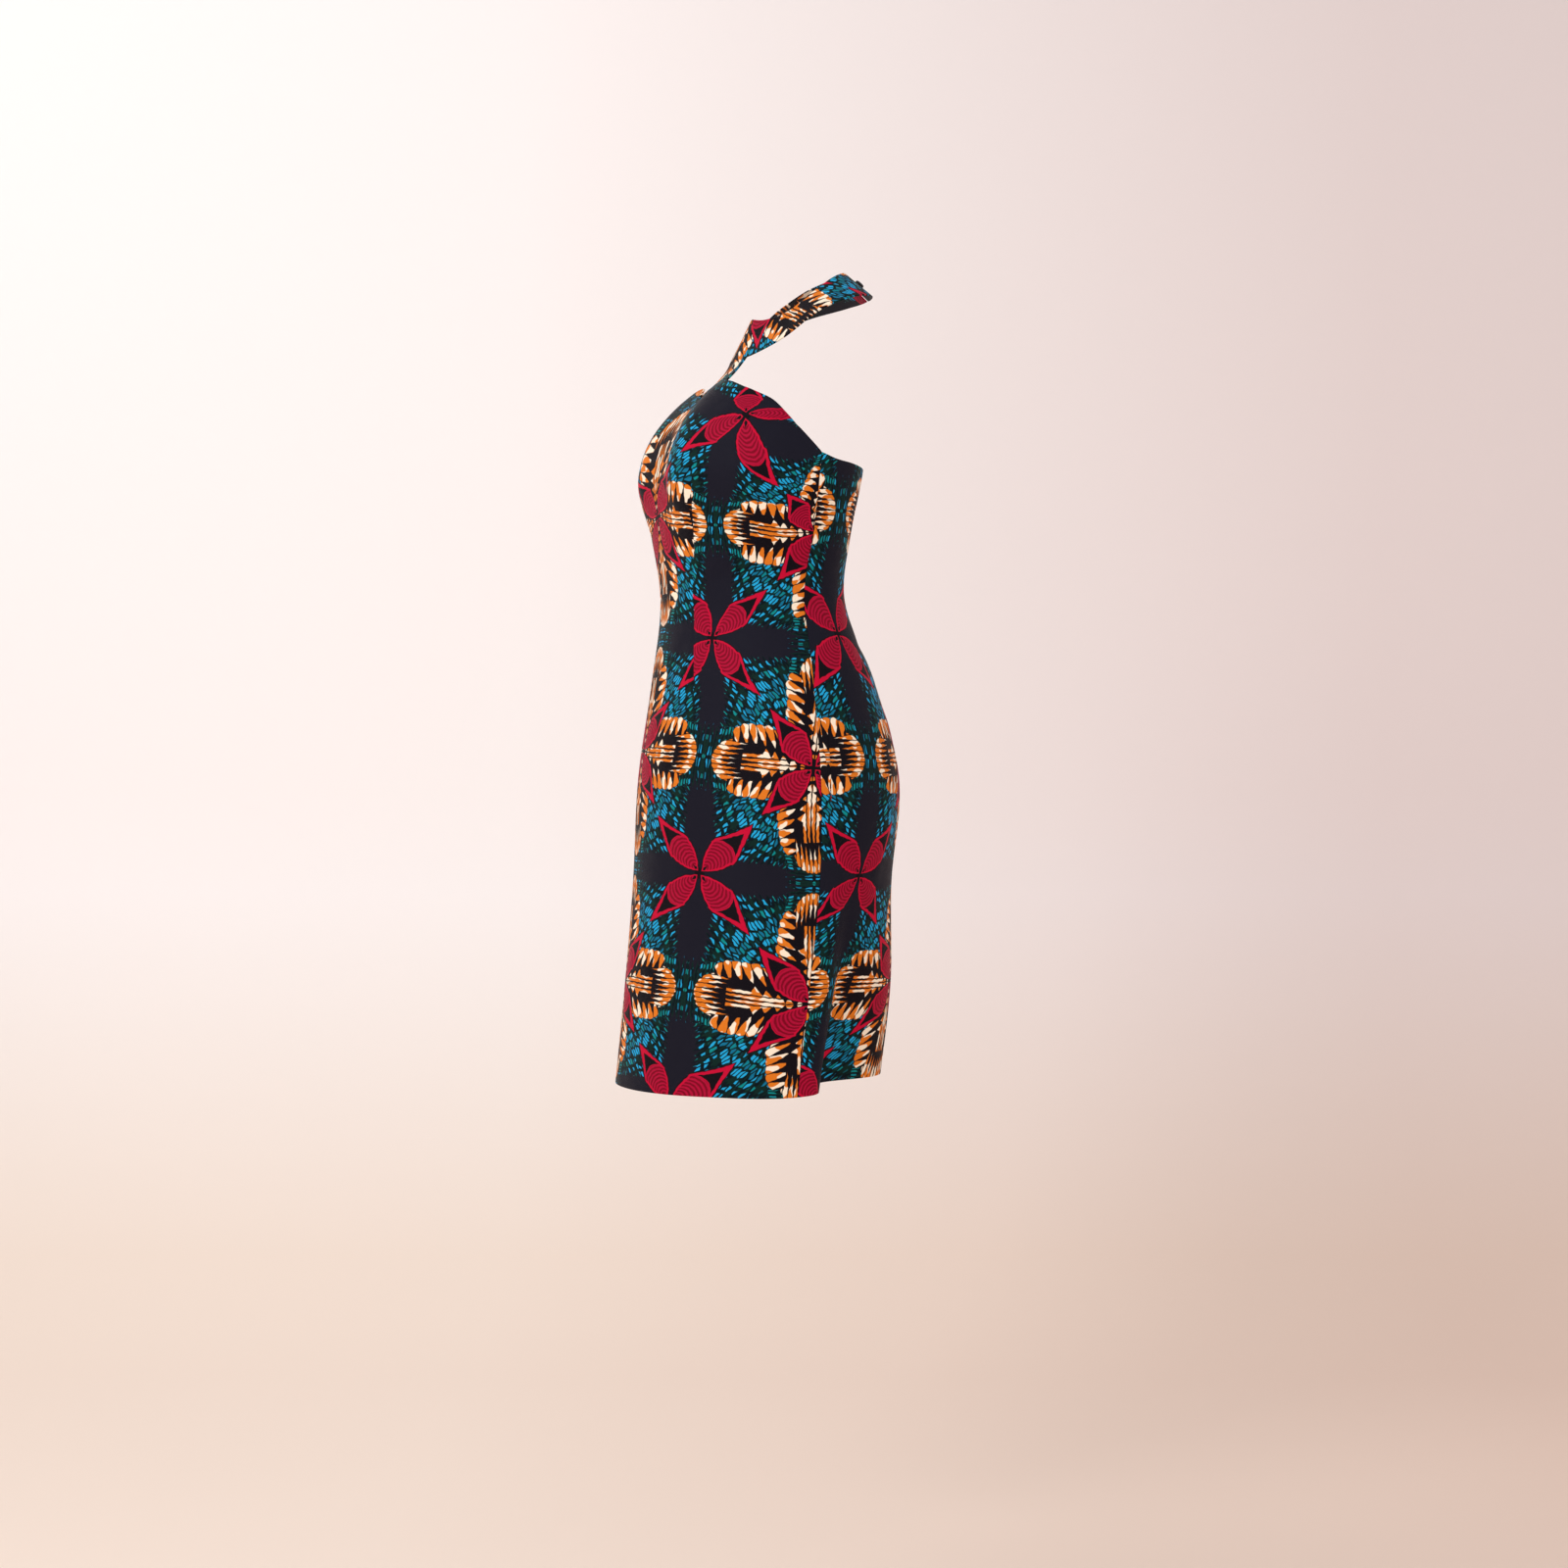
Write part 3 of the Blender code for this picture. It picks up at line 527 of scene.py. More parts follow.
def shaped_rows(bottom, top):
    """Rows of a panel, from the turned-up hem round to the outer face and over the top edge to
    what is turned in there: z, how far inward, the print's z, and 1 where seams can sink."""
    turns = [(EDGE_ROUND - EDGE_ROUND * np.sin(a), TURNED / 2 * (1 - np.cos(a)))
             for a in np.radians(EDGE_TURNS)]
    count = int(round(float(np.max(top - bottom)) / CELL))
    rows = [(bottom + level, TURNED, bottom - level, 0.0)
            for level in np.linspace(HEM_TURN, EDGE_ROUND, HEM_ROWS + 1)[:-1]]
    rows += [(bottom + away, inward, bottom + away * 0.5, 1.0) for away, inward in turns[::-1]]
    for share in np.linspace(0.0, 1.0, count + 1):
        level = bottom + EDGE_ROUND + (top - bottom - 2 * EDGE_ROUND) * share
        rows.append((level, 0.0, level, 1.0))
    rows += [(top - away, inward, top - away * 0.5, 1.0) for away, inward in turns]
    rows += [(top - level, TURNED, top + level, 0.0)
             for level in np.linspace(EDGE_ROUND, TOP_TURN, TOP_ROWS + 1)[1:]]
    return (np.array([row[which] + 0.0 * bottom for row in rows]) for which in range(4))


def dart_columns(shares, sides):
    """The column of the front that follows each dart, with the dart's side."""
    seam = section_value("side_seam", np.array([WAIST_Z]))[0]
    places = [(side * DART_WAIST_ANGLE / seam + 1) / 2 for side in sides]
    return [(int(np.argmin(np.abs(shares - place))), side) for place, side in zip(places, sides)]


def beyond_darts(darts, columns):
    """Whether faces at these columns lie beyond a dart, seen from centre front."""
    return np.any([columns >= index if side > 0 else columns < index for index, side in darts], axis=0)


def sunk(arc, z, darts):
    """How deep the cloth sinks at its seams and darts."""
    edge = np.minimum(arc[:, -1:] - arc, arc - arc[:, :1])
    depth = SEAM_SINK * np.clip(1.0 - edge / SEAM_DISTANCES[-1], 0.0, 1.0) ** 2
    for index, _ in darts:
        full = DART_SINK * np.clip(table_value(DART, DART_TAKEN, z) / DART_FULL, 0.0, 1.0)
        depth = depth + full * np.exp(-((arc - arc[:, index:index + 1]) / DART_WIDTH) ** 2)
    return depth


def panel_places(start_seam, end_seam, top_edge, shares, darts):
    """Angles by column at each height, and the bottom and top height of each column."""
    share = np.linspace(0.0, 1.0, PLACE_LEVELS)[:, None]
    level = HEM_EDGE[0][1] + (top_edge[-1][1] - HEM_EDGE[0][1]) * share

    def angles(z):
        start, end = seam_angle(start_seam, z), seam_angle(end_seam, z)
        start = start + degrees_for(SHOWN_SEAM_GAP / 2, start, z)
        end = end - degrees_for(SHOWN_SEAM_GAP / 2, end, z)
        places = start + (end - start) * shares
        for index, side in darts:
            here = places[..., index:index + 1]
            pull = smooth_step(1.0 - np.abs(places - here) / (DART_PULL * (end - start)))
            places = places + (side * table_value(DART, DART_ANGLE, z) - here) * pull
        return places

    for _ in range(PLACE_PASSES):
        degrees = angles(level)
        bottom = edge_height(HEM_EDGE, degrees[0])
        top = edge_height(top_edge, degrees[-1])
        level = bottom + (top - bottom) * share
    return angles, bottom, top


def make_panel(name, start_seam, end_seam, top_edge, width, print_at, dart_sides=()):
    """A panel's shell, with its flat size and its area."""
    shares = across_shares(width)
    darts = dart_columns(shares, dart_sides)
    angles, bottom, top = panel_places(start_seam, end_seam, top_edge, shares, darts)
    z, inward, print_z, on_face = shaped_rows(bottom, top)
    degrees = np.array([np.diagonal(angles(heights[:, None])) for heights in z])
    arc = arc_table(degrees, z)
    depth = inward + sunk(arc, z, darts) * on_face - crease_height(degrees, z)
    points = body_points(degrees, z) - depth[..., None] * body_normals(degrees, z)
    faces = grid_faces(*z.shape)
    if darts:
        columns = np.arange(len(shares))
        u_low, v = print_at(degrees, print_z, beyond_darts(darts, columns - 1))
        u_high, v = print_at(degrees, print_z, beyond_darts(darts, columns))
    else:
        u_low, v = print_at(degrees, print_z)
        u_high = u_low
    item = new_piece(name, points, faces.tolist(), CLOTHS, grid_uv(faces, u_low, u_high, v))
    applied(wall(item, CLOTH))
    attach(item, "dress")
    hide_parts(name.replace("_cloth", ""))
    area = float(np.linalg.norm(np.cross(points[1:, :-1] - points[:-1, :-1],
                                         points[:-1, 1:] - points[:-1, :-1]), axis=-1).sum())
    length = float(np.max(top - bottom)) + HEM_TURN + TOP_TURN
    flat = (float((arc[:, -1] - arc[:, 0]).max()), length)
    return item, flat, area


# ---------------- nodes
def feed(tree, place, value):
    """Link a node's input to a socket, or set it to a number, vector or colour."""
    if isinstance(value, Wire):
        value = value.socket
    if isinstance(value, bpy.types.NodeSocket):
        tree.links.new(value, place)
    else:
        place.default_value = value


def node(tree, kind, inputs=(), **settings):
    """Make a node with its settings and inputs, which are in order or a dict, and give its outputs."""
    made = tree.nodes.new("ShaderNode" + kind)
    for name, value in settings.items():
        setattr(made, name, value)
    for place, value in inputs.items() if isinstance(inputs, dict) else enumerate(inputs):
        feed(tree, made.inputs[place], value)
    return made.outputs


class Wire:
    """A number in a material's nodes, with arithmetic."""

    def __init__(self, tree, socket):
        self.tree, self.socket = tree, socket

    def calc(self, operation, *others, clamp=False):
        return self.among(operation, self, *others, clamp=clamp)

    def among(self, operation, *values, clamp=False):
        made = node(self.tree, "Math", values, operation=operation, use_clamp=clamp)
        return Wire(self.tree, made[0])

    def __add__(self, other):
        return self.calc("ADD", other)

    def __sub__(self, other):
        return self.calc("SUBTRACT", other)

    def __rsub__(self, other):
        return self.among("SUBTRACT", other, self)

    def __mul__(self, other):
        return self.calc("MULTIPLY", other)

    def __truediv__(self, number):
        return self * (1.0 / number)

    def __rtruediv__(self, other):
        return self.among("DIVIDE", other, self)

    def least(self, other):
        return self.calc("MINIMUM", other)

    def most(self, other):
        return self.calc("MAXIMUM", other)

    def soft_least(self, other, blend):
        return self.calc("SMOOTH_MIN", other, blend)

    def fold(self, size):
        """Rises from 0 to size and falls back, again and again."""
        return self.calc("PINGPONG", size)

    def ramp(self, low, high):
        """0 below low, 1 above high and straight between."""
        span = high - low
        return self.calc("MULTIPLY_ADD", 1.0 / span, -low / span, clamp=True)

    def inside(self, soft=0.0005):
        """1 where this distance into a shape is above nought."""
        return self.calc("MULTIPLY_ADD", 1.0 / soft, 0.5, clamp=True)

    def unless(self, other):
        """This mask without another one."""
        return self * (1.0 - other)


def colour(text):
    """A linear colour from its usual six digits."""
    values = [int(text[i:i + 2], 16) / 255 for i in (0, 2, 4)]
    return tuple(v / 12.92 if v <= 0.04045 else ((v + 0.055) / 1.055) ** 2.4 for v in values) + (1.0,)


def mixed(tree, first, second, share):
    """A colour that goes from the first to the second with a share."""
    return node(tree, "Mix", {0: share, 6: first, 7: second}, data_type="RGBA")[2]


def joined(tree, *values):
    return node(tree, "CombineXYZ", values)[0]


def split(tree, vector):
    return [Wire(tree, socket) for socket in node(tree, "SeparateXYZ", (vector,))]


def scaled(tree, vector, factors, start=(0.0, 0.0, 0.0)):
    return node(tree, "VectorMath", (vector, factors, start), operation="MULTIPLY_ADD")[0]


def noise(tree, vector, scale, detail=0.0, dimensions="2D"):
    """A noise's outputs: a number, and a colour that can serve as a vector."""
    inputs = {"Vector": vector, "Scale": scale, "Detail": detail}
    return node(tree, "TexNoise", inputs, noise_dimensions=dimensions)


def cells(tree, vector, feature):
    inputs = {"Vector": vector, "Scale": 1.0, "Randomness": CELL_RANDOMNESS}
    return node(tree, "TexVoronoi", inputs, voronoi_dimensions="2D", feature=feature)


def cloth_uv(tree):
    return node(tree, "UVMap", uv_map="cloth")[0]


def object_place(tree):
    return node(tree, "TexCoord")["Object"]


def new_material(name):
    material = bpy.data.materials.new(name)
    material.use_nodes = True
    return material, material.node_tree


def finish_shader(tree, paint, roughness, relief=None, relief_height=0.0, metallic=0.0, gloss=0.5):
    """Set the shader's inputs.  The relief is a share of its height in metres."""
    shader = tree.nodes["Principled BSDF"]
    for name, value in (("Base Color", paint), ("Roughness", roughness), ("Metallic", metallic),
                        ("Specular IOR Level", gloss)):
        feed(tree, shader.inputs[name], value)
    if relief is not None:
        bump = node(tree, "Bump", {"Distance": relief_height, "Height": relief})
        feed(tree, shader.inputs["Normal"], bump[0])


# ---------------- the print
BLACK = colour("130e14")
ARM = colour("1b1a25")
GREEN = colour("0e2824")
SHADE = colour("0a161c")
TEAL = colour("0e8a8c")
DEEP_BLUE = colour("147296")
BLUE = colour("24a6da")
RED = colour("c40d34")
BRIGHT_RED = colour("ae1037")
DEEP_RED = colour("7c0620")
ORANGE = colour("df7822")
CREAM = colour("fdead2")
FADED = colour("74747a")

# How the lines waver as drawn by hand.  Columns: noise to a metre, reach.
WAVERS = ((20.0, 0.0034), (210.0, 0.0012))
WAVER_MIDDLE = 0.0022                   # how far they move the print on average

# The ground's dashes lie in lanes that leave the dark arms at an angle, as barbs leave a feather.
LANE = 0.0036
DASH = 0.0108
LANE_ANGLE = math.radians(40.0)
LANE_DRIFT = 0.45
CELL_RANDOMNESS = 0.66
CROSSING = (0.030, 0.092, 0.0115)       # where two arms' ends meet: half width, start, dash
ARM_HALF_WIDTH = 0.0185
ARM_LENGTH = 0.100
SPIKE = (0.0024, 0.0080)                # spikes along an arm: half pitch and height
COMB = (0.0027, 0.020)                  # spikes at its end

# A lobe, on the axis from a flower's centre: a round cap beyond a hump on each side.
CAP_CENTRE = 0.0925
CAP_RADIUS = 0.0245
CAP_START = 0.0895                      # on the slanting measure that segments follow
HUMP_HALF_WIDTH = 0.0405
HUMP_END = 0.1300
LOBE_ROW = 0.00268                      # half the pitch of the stripes along a lobe
SEGMENT = 0.00638                       # half the pitch of the segments round a lobe
ARROWS = (0.0584, 0.0118)               # the outermost arrowhead on a lobe's axis, and their pitch

# A petal, on the diagonal from a flower's centre.
PETAL_LENGTH = 0.081
PETAL_WIDEST = 0.036
PETAL_HALF_WIDTH = 0.0145
PETAL_BORDER = 0.0021
HEART_END = 0.0670                      # the dark triangle's point, in a petal's tip
HEART_BORDER = 0.0028
BODY_START = 0.005
BODY_END = 0.0462
BODY_ROUND = 40.0                       # how far a ring bends back, for each metre squared
RING = 0.0044                           # a petal's rings
CENTRE_RADIUS = 0.0045


def dashed_ground(tree, arm_along, arm_across):
    """The ground's colours, the distance along its lanes, and a soft shade that frays the arms."""
    barb = arm_along * math.cos(LANE_ANGLE) - arm_across * math.sin(LANE_ANGLE)
    out = arm_across / math.cos(LANE_ANGLE) + barb * LANE_DRIFT
    half_width, start, crossing_dash = CROSSING
    crossing = (half_width - arm_across).least(arm_along - start).inside(0.0004)
    first, second = barb / LANE, out / DASH
    first = first + (arm_across / LANE - first) * crossing
    second = second + (arm_along / crossing_dash - second) * crossing
    place = joined(tree, first, second, 0.0)
    edge = Wire(tree, cells(tree, place, "DISTANCE_TO_EDGE")["Distance"])
    pick, pick_green, _ = split(tree, cells(tree, place, "F1")["Color"])
    middle = arm_across.ramp(0.016, 0.046)
    dash = (edge - 0.262 + middle * 0.054 + (pick_green - 0.5) * 0.17).inside(0.08)
    dash = dash * (first.fold(0.5) - 0.13 + middle * 0.13).inside(0.10)
    paint = mixed(tree, DEEP_BLUE, TEAL, (pick - 0.26).inside(0.10))
    paint = mixed(tree, paint, BLUE, (pick + middle * 0.36 - 0.70).inside(0.12))
    paint = mixed(tree, paint, GREEN, (0.20 - pick_green).inside(0.10))
    shade = Wire(tree, noise(tree, scaled(tree, place, (1.0, 0.45, 1.0)), 1.3)[0])
    between = mixed(tree, SHADE, GREEN, shade.ramp(0.40, 0.56))
    return mixed(tree, between, paint, dash), barb, shade


def arm_mask(arm_along, arm_across, barb, shade):
    """Dark arms with feathered edges, wider in the middle."""
    spikes = barb.fold(SPIKE[0]) * (SPIKE[1] / SPIKE[0])
    comb = arm_across.fold(COMB[0]) * (COMB[1] / COMB[0])
    width = (ARM_HALF_WIDTH - arm_along.ramp(0.074, 0.110) * 0.006
             + arm_along.ramp(0.035, 0.060) * 0.002)
    fray = (shade - 0.5) * 0.010
    side = width - arm_across - 0.0050 + spikes + fray
    end = ARM_LENGTH - arm_along - 0.010 + comb + fray
    return side.least(end).inside(0.0008)


def lobe_colours(tree, uv, along, across, diagonal):
    """A lobe's colours and its mask: a round cap with stripes, a hump of slanting segments on
    each side, and striped arrowheads on the axis."""
    slant = along + along * across * 9.0 - across * 1.15
    hump_fold = (slant + 0.0062).fold(SEGMENT)
    row_fold = across.fold(LOBE_ROW)
    beyond = (along - CAP_CENTRE).most(0.0)
    cap = CAP_RADIUS - (beyond * beyond + across * across).calc("SQRT") - (LOBE_ROW - row_fold) * 0.35
    cap = cap.least(along - 0.070)
    hump = (HUMP_HALF_WIDTH - across).soft_least((HUMP_END - along - across) * DIAGONAL, 0.010)
    root = (along - across) * DIAGONAL - diagonal.ramp(0.036, 0.060) * 0.0080
    hump = hump.soft_least(root, 0.003) - hump_fold * hump_fold * (0.0017 / SEGMENT ** 2)
    lobe = cap.most(hump.least((CAP_START - slant) * 0.8))

    # light bars: wedges in the humps, stripes in the cap
    foot = (along * 0.30 + 0.0034).least(0.0180)
    wedge = (across - foot).ramp(0.0, 0.0170).calc("POWER", 0.65) * 0.0062 - 0.0005 - hump_fold
    in_cap = (slant - CAP_START).most(0.0205 - across).least(along - 0.060).inside()
    cap_stripe = (along + across * 0.62).ramp(0.0885, 0.1110) * 0.0025 + row_fold - LOBE_ROW - 0.0003
    bars = wedge.inside(0.0006).unless(in_cap).most(cap_stripe.inside() * in_cap)

    # arrowheads on the axis
    outermost, pitch = ARROWS
    leaning = along + across * 0.40 - 0.0035
    step = (leaning - outermost).calc("WRAP", pitch, 0.0)
    arrow = (along * 0.26 + 0.0012 - (pitch - step) * 0.62 - across).least(outermost - leaning)
    arrow = arrow.least(along * 0.30 - 0.0012 - across)
    feather = (0.0090 - across).least(along - outermost + 0.004).least(0.0815 - along)
    rib = arrow.most(feather)
    rib_stripe = (row_fold - 0.0008 - along.ramp(0.055, 0.082) * 0.0012).most(across - 0.0061)
    bars = bars.unless((rib + 0.0016).inside()).most(rib.inside() * rib_stripe.inside())
    bars = bars * (lobe - 0.0006).inside()

    # orange and cream, in runs along each bar
    drift = scaled(tree, uv, (3.0, 3.0, 0.0))
    by_hump, by_row = (
        Wire(tree, noise(tree, scaled(tree, joined(tree, *place, 0.0), (1.0, 1.0, 1.0), drift), 1.15)[0])
        for place in ((slant / 0.0128, across / 0.0150), (across / 0.0054 + 7.0, along / 0.0150)))
    on_rows = in_cap.most((rib + 0.0012).inside())
    tint = by_hump + (by_row - by_hump) * on_rows
    paint = mixed(tree, CREAM, ORANGE, tint.ramp(0.412, 0.462))
    return mixed(tree, BLACK, paint, bars), lobe.inside()


def petal_width(s):
    """Half the width of a petal: leaf-shaped, then drawn out to a point."""
    near, far = (s - PETAL_WIDEST).least(0.0), (s - PETAL_WIDEST).most(0.0)
    near, far = near * near, far * far
    leaf = PETAL_HALF_WIDTH - near * 13.1 - far * 24.0
    tip = (PETAL_LENGTH - s) * 0.345 - near * 400.0
    return 0.0 - (0.0 - leaf).soft_least(0.0 - tip, 0.004)


def petal_colours(tree, s, t):
    """A petal's colours, and how far inside it a place lies: rings that grow from the foot, a
    plain border, and a dark triangle in the tip.  s runs along the diagonal, t away from it."""
    petal = petal_width(s) - t
    grown = s - BODY_START
    ring = grown + t * t * 1.25 * (1.0 / grown.most(0.002))
    rings = (ring.fold(RING / 2) - RING / 4).inside(0.0010)
    body_end = s + t * t * BODY_ROUND - BODY_END
    body = (petal - PETAL_BORDER).least(0.0 - body_end)
    heart = ((HEART_END - s) * 0.46 - t).least(body_end - 0.0010).least(petal - HEART_BORDER)
    seed = (0.0019 - t).least(0.0115 - s - t * 2.6).least(s - 0.0045 - t)
    flower = mixed(tree, RED, mixed(tree, BRIGHT_RED, DEEP_RED, rings), body.inside(0.0006))
    return mixed(tree, flower, BLACK, heart.most(seed).inside(0.0006)), petal


def wax_print(tree, uv):
    """The print: four-petalled red flowers on the diagonals, leaf-shaped lobes with a dark heart
    round every second one, dark arms round the others, and a ground of small dashes."""
    bent = uv
    for waves, reach in WAVERS:
        bent = scaled(tree, noise(tree, uv, waves)[1], (reach, reach, 0.0), bent)
    from_x, from_y = ((place - WAVER_MIDDLE).fold(REPEAT / 2) for place in split(tree, bent)[:2])
    along, across = from_x.most(from_y), from_x.least(from_y)
    diagonal = (from_x + from_y) * DIAGONAL
    arm_along, arm_across = REPEAT / 2 - across, REPEAT / 2 - along
    art, barb, shade = dashed_ground(tree, arm_along, arm_across)
    art = mixed(tree, art, ARM, arm_mask(arm_along, arm_across, barb, shade))
    art = mixed(tree, art, *lobe_colours(tree, uv, along, across, diagonal))
    from_flower = diagonal.least(REPEAT * DIAGONAL - diagonal)
    flower, petal = petal_colours(tree, from_flower, (along - across) * DIAGONAL)
    art = mixed(tree, art, BLACK, (petal + 0.0011).most(CENTRE_RADIUS - from_flower).inside())
    return mixed(tree, art, flower, petal.inside())


# ---------------- materials
THREAD = 0.00034                        # pitch of the cotton's threads
THREAD_HEIGHT = 0.00003
COTTON_ROUGHNESS = (0.42, 0.16)         # least, and how much more in worn places
TAPE_FLOAT = 0.003                      # half the pitch of the zip tape's slanting floats
TAPE_RELIEF = 0.00012
METAL_RELIEF = 0.00001


def cotton(name, faded=0.0):
    """Printed cotton in a fine plain weave."""
    material, tree = new_material(name)
    uv = cloth_uv(tree)
    paint = wax_print(tree, uv)
    if faded:
        paint = mixed(tree, paint, FADED, faded)
    warp, weft = ((place * (math.pi / THREAD)).calc("SINE") for place in split(tree, uv)[:2])
    least, more = COTTON_ROUGHNESS
    roughness = Wire(tree, noise(tree, uv, 90.0, 2.0)[0]) * more + least
    finish_shader(tree, paint, roughness, warp * weft, THREAD_HEIGHT, gloss=0.04)
    return material


def speckled(name, tone, second, roughness, scale):
    """A material whose colour varies a little from place to place."""
    material, tree = new_material(name)
    speckle = noise(tree, object_place(tree), scale, 2.0, "3D")[0]
    finish_shader(tree, mixed(tree, tone, second, speckle), roughness)
    return material


def woven(name, tone, second, pitch, roughness):
    """Narrow woven tape: fine ribs across slanting floats, with painted shade in the grooves between them.
    """
    material, tree = new_material(name)
    u, v, _ = split(tree, cloth_uv(tree))
    rib = (v + u.fold(TAPE_FLOAT) * 0.8).fold(pitch / 2) / (pitch / 2)
    relief = rib * 0.7 + u.fold(pitch / 2) / (pitch / 2) * 0.3
    # the colour follows the relief: painted shade in the grooves, painted highlight on the tops of the
    # ribs
    finish_shader(tree, mixed(tree, tone, second, relief), roughness, relief, TAPE_RELIEF)
    return material


def metal(name, tone, worn, roughness):
    """Dark plated metal, a little worn, with faint marks of polishing."""
    material, tree = new_material(name)
    place = object_place(tree)
    wear = Wire(tree, noise(tree, place, 420.0, 3.0, "3D")[0]).ramp(0.45, 0.75)
    polish = noise(tree, scaled(tree, place, (9000.0, 900.0, 900.0)), 1.0, 2.0, "3D")[0]
    finish_shader(tree, mixed(tree, tone, worn, wear), roughness, polish, METAL_RELIEF, metallic=1.0)
    return material


def paper(right):
    """Pale paper with painted shade that darkens it to the right, and warmer on the floor."""
    material, tree = new_material("paper")
    x, y, z = split(tree, object_place(tree))
    # painted shade: the paper turns darker towards the right
    painted_shade_to_right = (x * float(right[0]) + y * float(right[1])).ramp(-0.5, 1.1)
    upper = mixed(tree, colour("fffafa"), colour("f0e3e2"), painted_shade_to_right)
    lower = mixed(tree, colour("f6e5d8"), colour("ebd3c5"), painted_shade_to_right)
    finish_shader(tree, mixed(tree, lower, upper, z.ramp(-1.35, -0.75)), 0.9, gloss=0.1)
    return material


# ---------------- the panels
PRINT = cotton("wax_print")
PRINT_INSIDE = cotton("wax_print_inside", 0.12)
CLOTHS = (PRINT, PRINT_INSIDE)
FRONT_WIDTH = 0.50              # about the panels' widths, which set how many columns they have
BACK_WIDTH = 0.245

panels = {
    "front": make_panel("front_cloth", "side_right", "side_left", FRONT_TOP_EDGE, FRONT_WIDTH,
                        front_print, (-1.0, 1.0)),
    "back_left": make_panel("back_left_cloth", "side_left", "centre_left", BACK_TOP_EDGE, BACK_WIDTH,
                            back_print),
    "back_right": make_panel("back_right_cloth", "centre_right", "side_right", BACK_TOP_EDGE,
                             BACK_WIDTH, back_print),
}


# ---------------- inside the seams
STRIP_ROW = 0.010
STRIP_NEAR = (0.0004, 0.0012)   # a strip's first columns, from the seam
STRIP_EDGE = 0.0006             # width of its last column, which is pressed down
STRIP_PRESS = 0.0003
STRIP_MARGIN = 0.001            # from the cloth that is turned in at the hem and the top
ALLOWANCE_INWARD = CLOTH + 0.0003
ALLOWANCE_WALL = CLOTH * 0.8


def seam_strip(name, seam, toward, inward, thickness, reach, low, high, material, print_at=None):
    """A strip of cloth along a seam, on one side of it, inside the panels."""
    z = np.linspace(low, high, int((high - low) / STRIP_ROW) + 2)[:, None]
    at_seam = seam_angle(seam, z)
    one_metre = degrees_for(1.0, at_seam, z)
    distances = np.sort(toward * np.array([*STRIP_NEAR, 0.5 * reach, reach - STRIP_EDGE, reach]))
    degrees = at_seam + one_metre * distances
    z = z + 0.0 * degrees
    inward = inward + np.where(np.abs(distances) > reach - STRIP_EDGE / 2, STRIP_PRESS, 0.0)
    points = body_points(degrees, z) - inward[..., None] * body_normals(degrees, z)
    faces = grid_faces(*z.shape)
    if print_at is None:
        u, v = distances + 0.0 * z, z
    else:
        u, v = print_at(at_seam - one_metre * distances, z)
    item = new_piece(name, points, faces.tolist(), (material,), grid_uv(faces, u, u, v))
    applied(wall(item, thickness, 0))
    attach(item, "dress")
    return item


def strip_heights(seam, top_edge):
    at = seam_angle(seam, np.array([HEM_EDGE[0][1], top_edge[-1][1]]))
    return (float(edge_height(HEM_EDGE, at[0])) + HEM_TURN + STRIP_MARGIN,
            float(edge_height(top_edge, at[1])) - TOP_TURN - STRIP_MARGIN)


allowances = {name: [] for name in panels}
for seam, toward, panel, print_at, top_edge in (
        ("side_left", -1.0, "front", front_print, FRONT_TOP_EDGE),
        ("side_right", 1.0, "front", front_print, FRONT_TOP_EDGE),
        ("side_left", 1.0, "back_left", back_print, BACK_TOP_EDGE),
        ("side_right", -1.0, "back_right", back_print, BACK_TOP_EDGE),
        ("centre_left", -1.0, "back_left", back_print, BACK_TOP_EDGE),
        ("centre_right", 1.0, "back_right", back_print, BACK_TOP_EDGE)):
    low, high = strip_heights(seam, top_edge)
    strip = seam_strip(f"allowance_{seam}_{panel[:5].rstrip('_')}", seam, toward, ALLOWANCE_INWARD,
                       ALLOWANCE_WALL, ALLOWANCE, low, high, PRINT, print_at)
    allowances[panel].append(strip)


# ---------------- the zip and the button
TAPE_HALF = 0.0118
TAPE_WALL = 0.0006
TAPE_INWARD = 0.0019
TAPE_MARGIN = 0.0005
COIL_PITCH = 0.0015
COIL_RADIUS = 0.00042
COIL_TURN = (0.0021, 0.0011)        # a turn's half width across the seam and depth behind the tape
COIL_APART = 0.85                   # its middle's distance from the seam, in half widths
COIL_SIDES = 5
COIL_STEPS = 8
TUBE_GUIDE = (0.31, 0.42, 0.85)     # a direction that no tube follows


def frame_along(path, guide):
    """Two directions square to a path and to each other, at each of its points."""
    run = np.gradient(path, axis=0)
    run /= np.linalg.norm(run, axis=-1, keepdims=True)
    side = np.cross(run, np.array(guide))
    side /= np.linalg.norm(side, axis=-1, keepdims=True)
    return side, np.cross(run, side)


def tube(name, path, radius, sides, material):
    """A closed tube along a path, with capped ends."""
    side, up = frame_along(path, TUBE_GUIDE)
    turn = np.radians(np.arange(sides) * 360.0 / sides)[None, :, None]
    rings = path[:, None] + radius * (np.cos(turn) * side[:, None] + np.sin(turn) * up[:, None])
    near = np.arange(len(path) - 1)[:, None] * sides
    far = near + sides
    here = np.arange(sides)
    following = (here + 1) % sides
    faces = np.stack([near + here, near + following, far + following, far + here], axis=-1)
    caps = [here[::-1].tolist(), (far[-1] + here).tolist()]
    return new_piece(name, rings, faces.reshape(-1, 4).tolist() + caps, (material,))


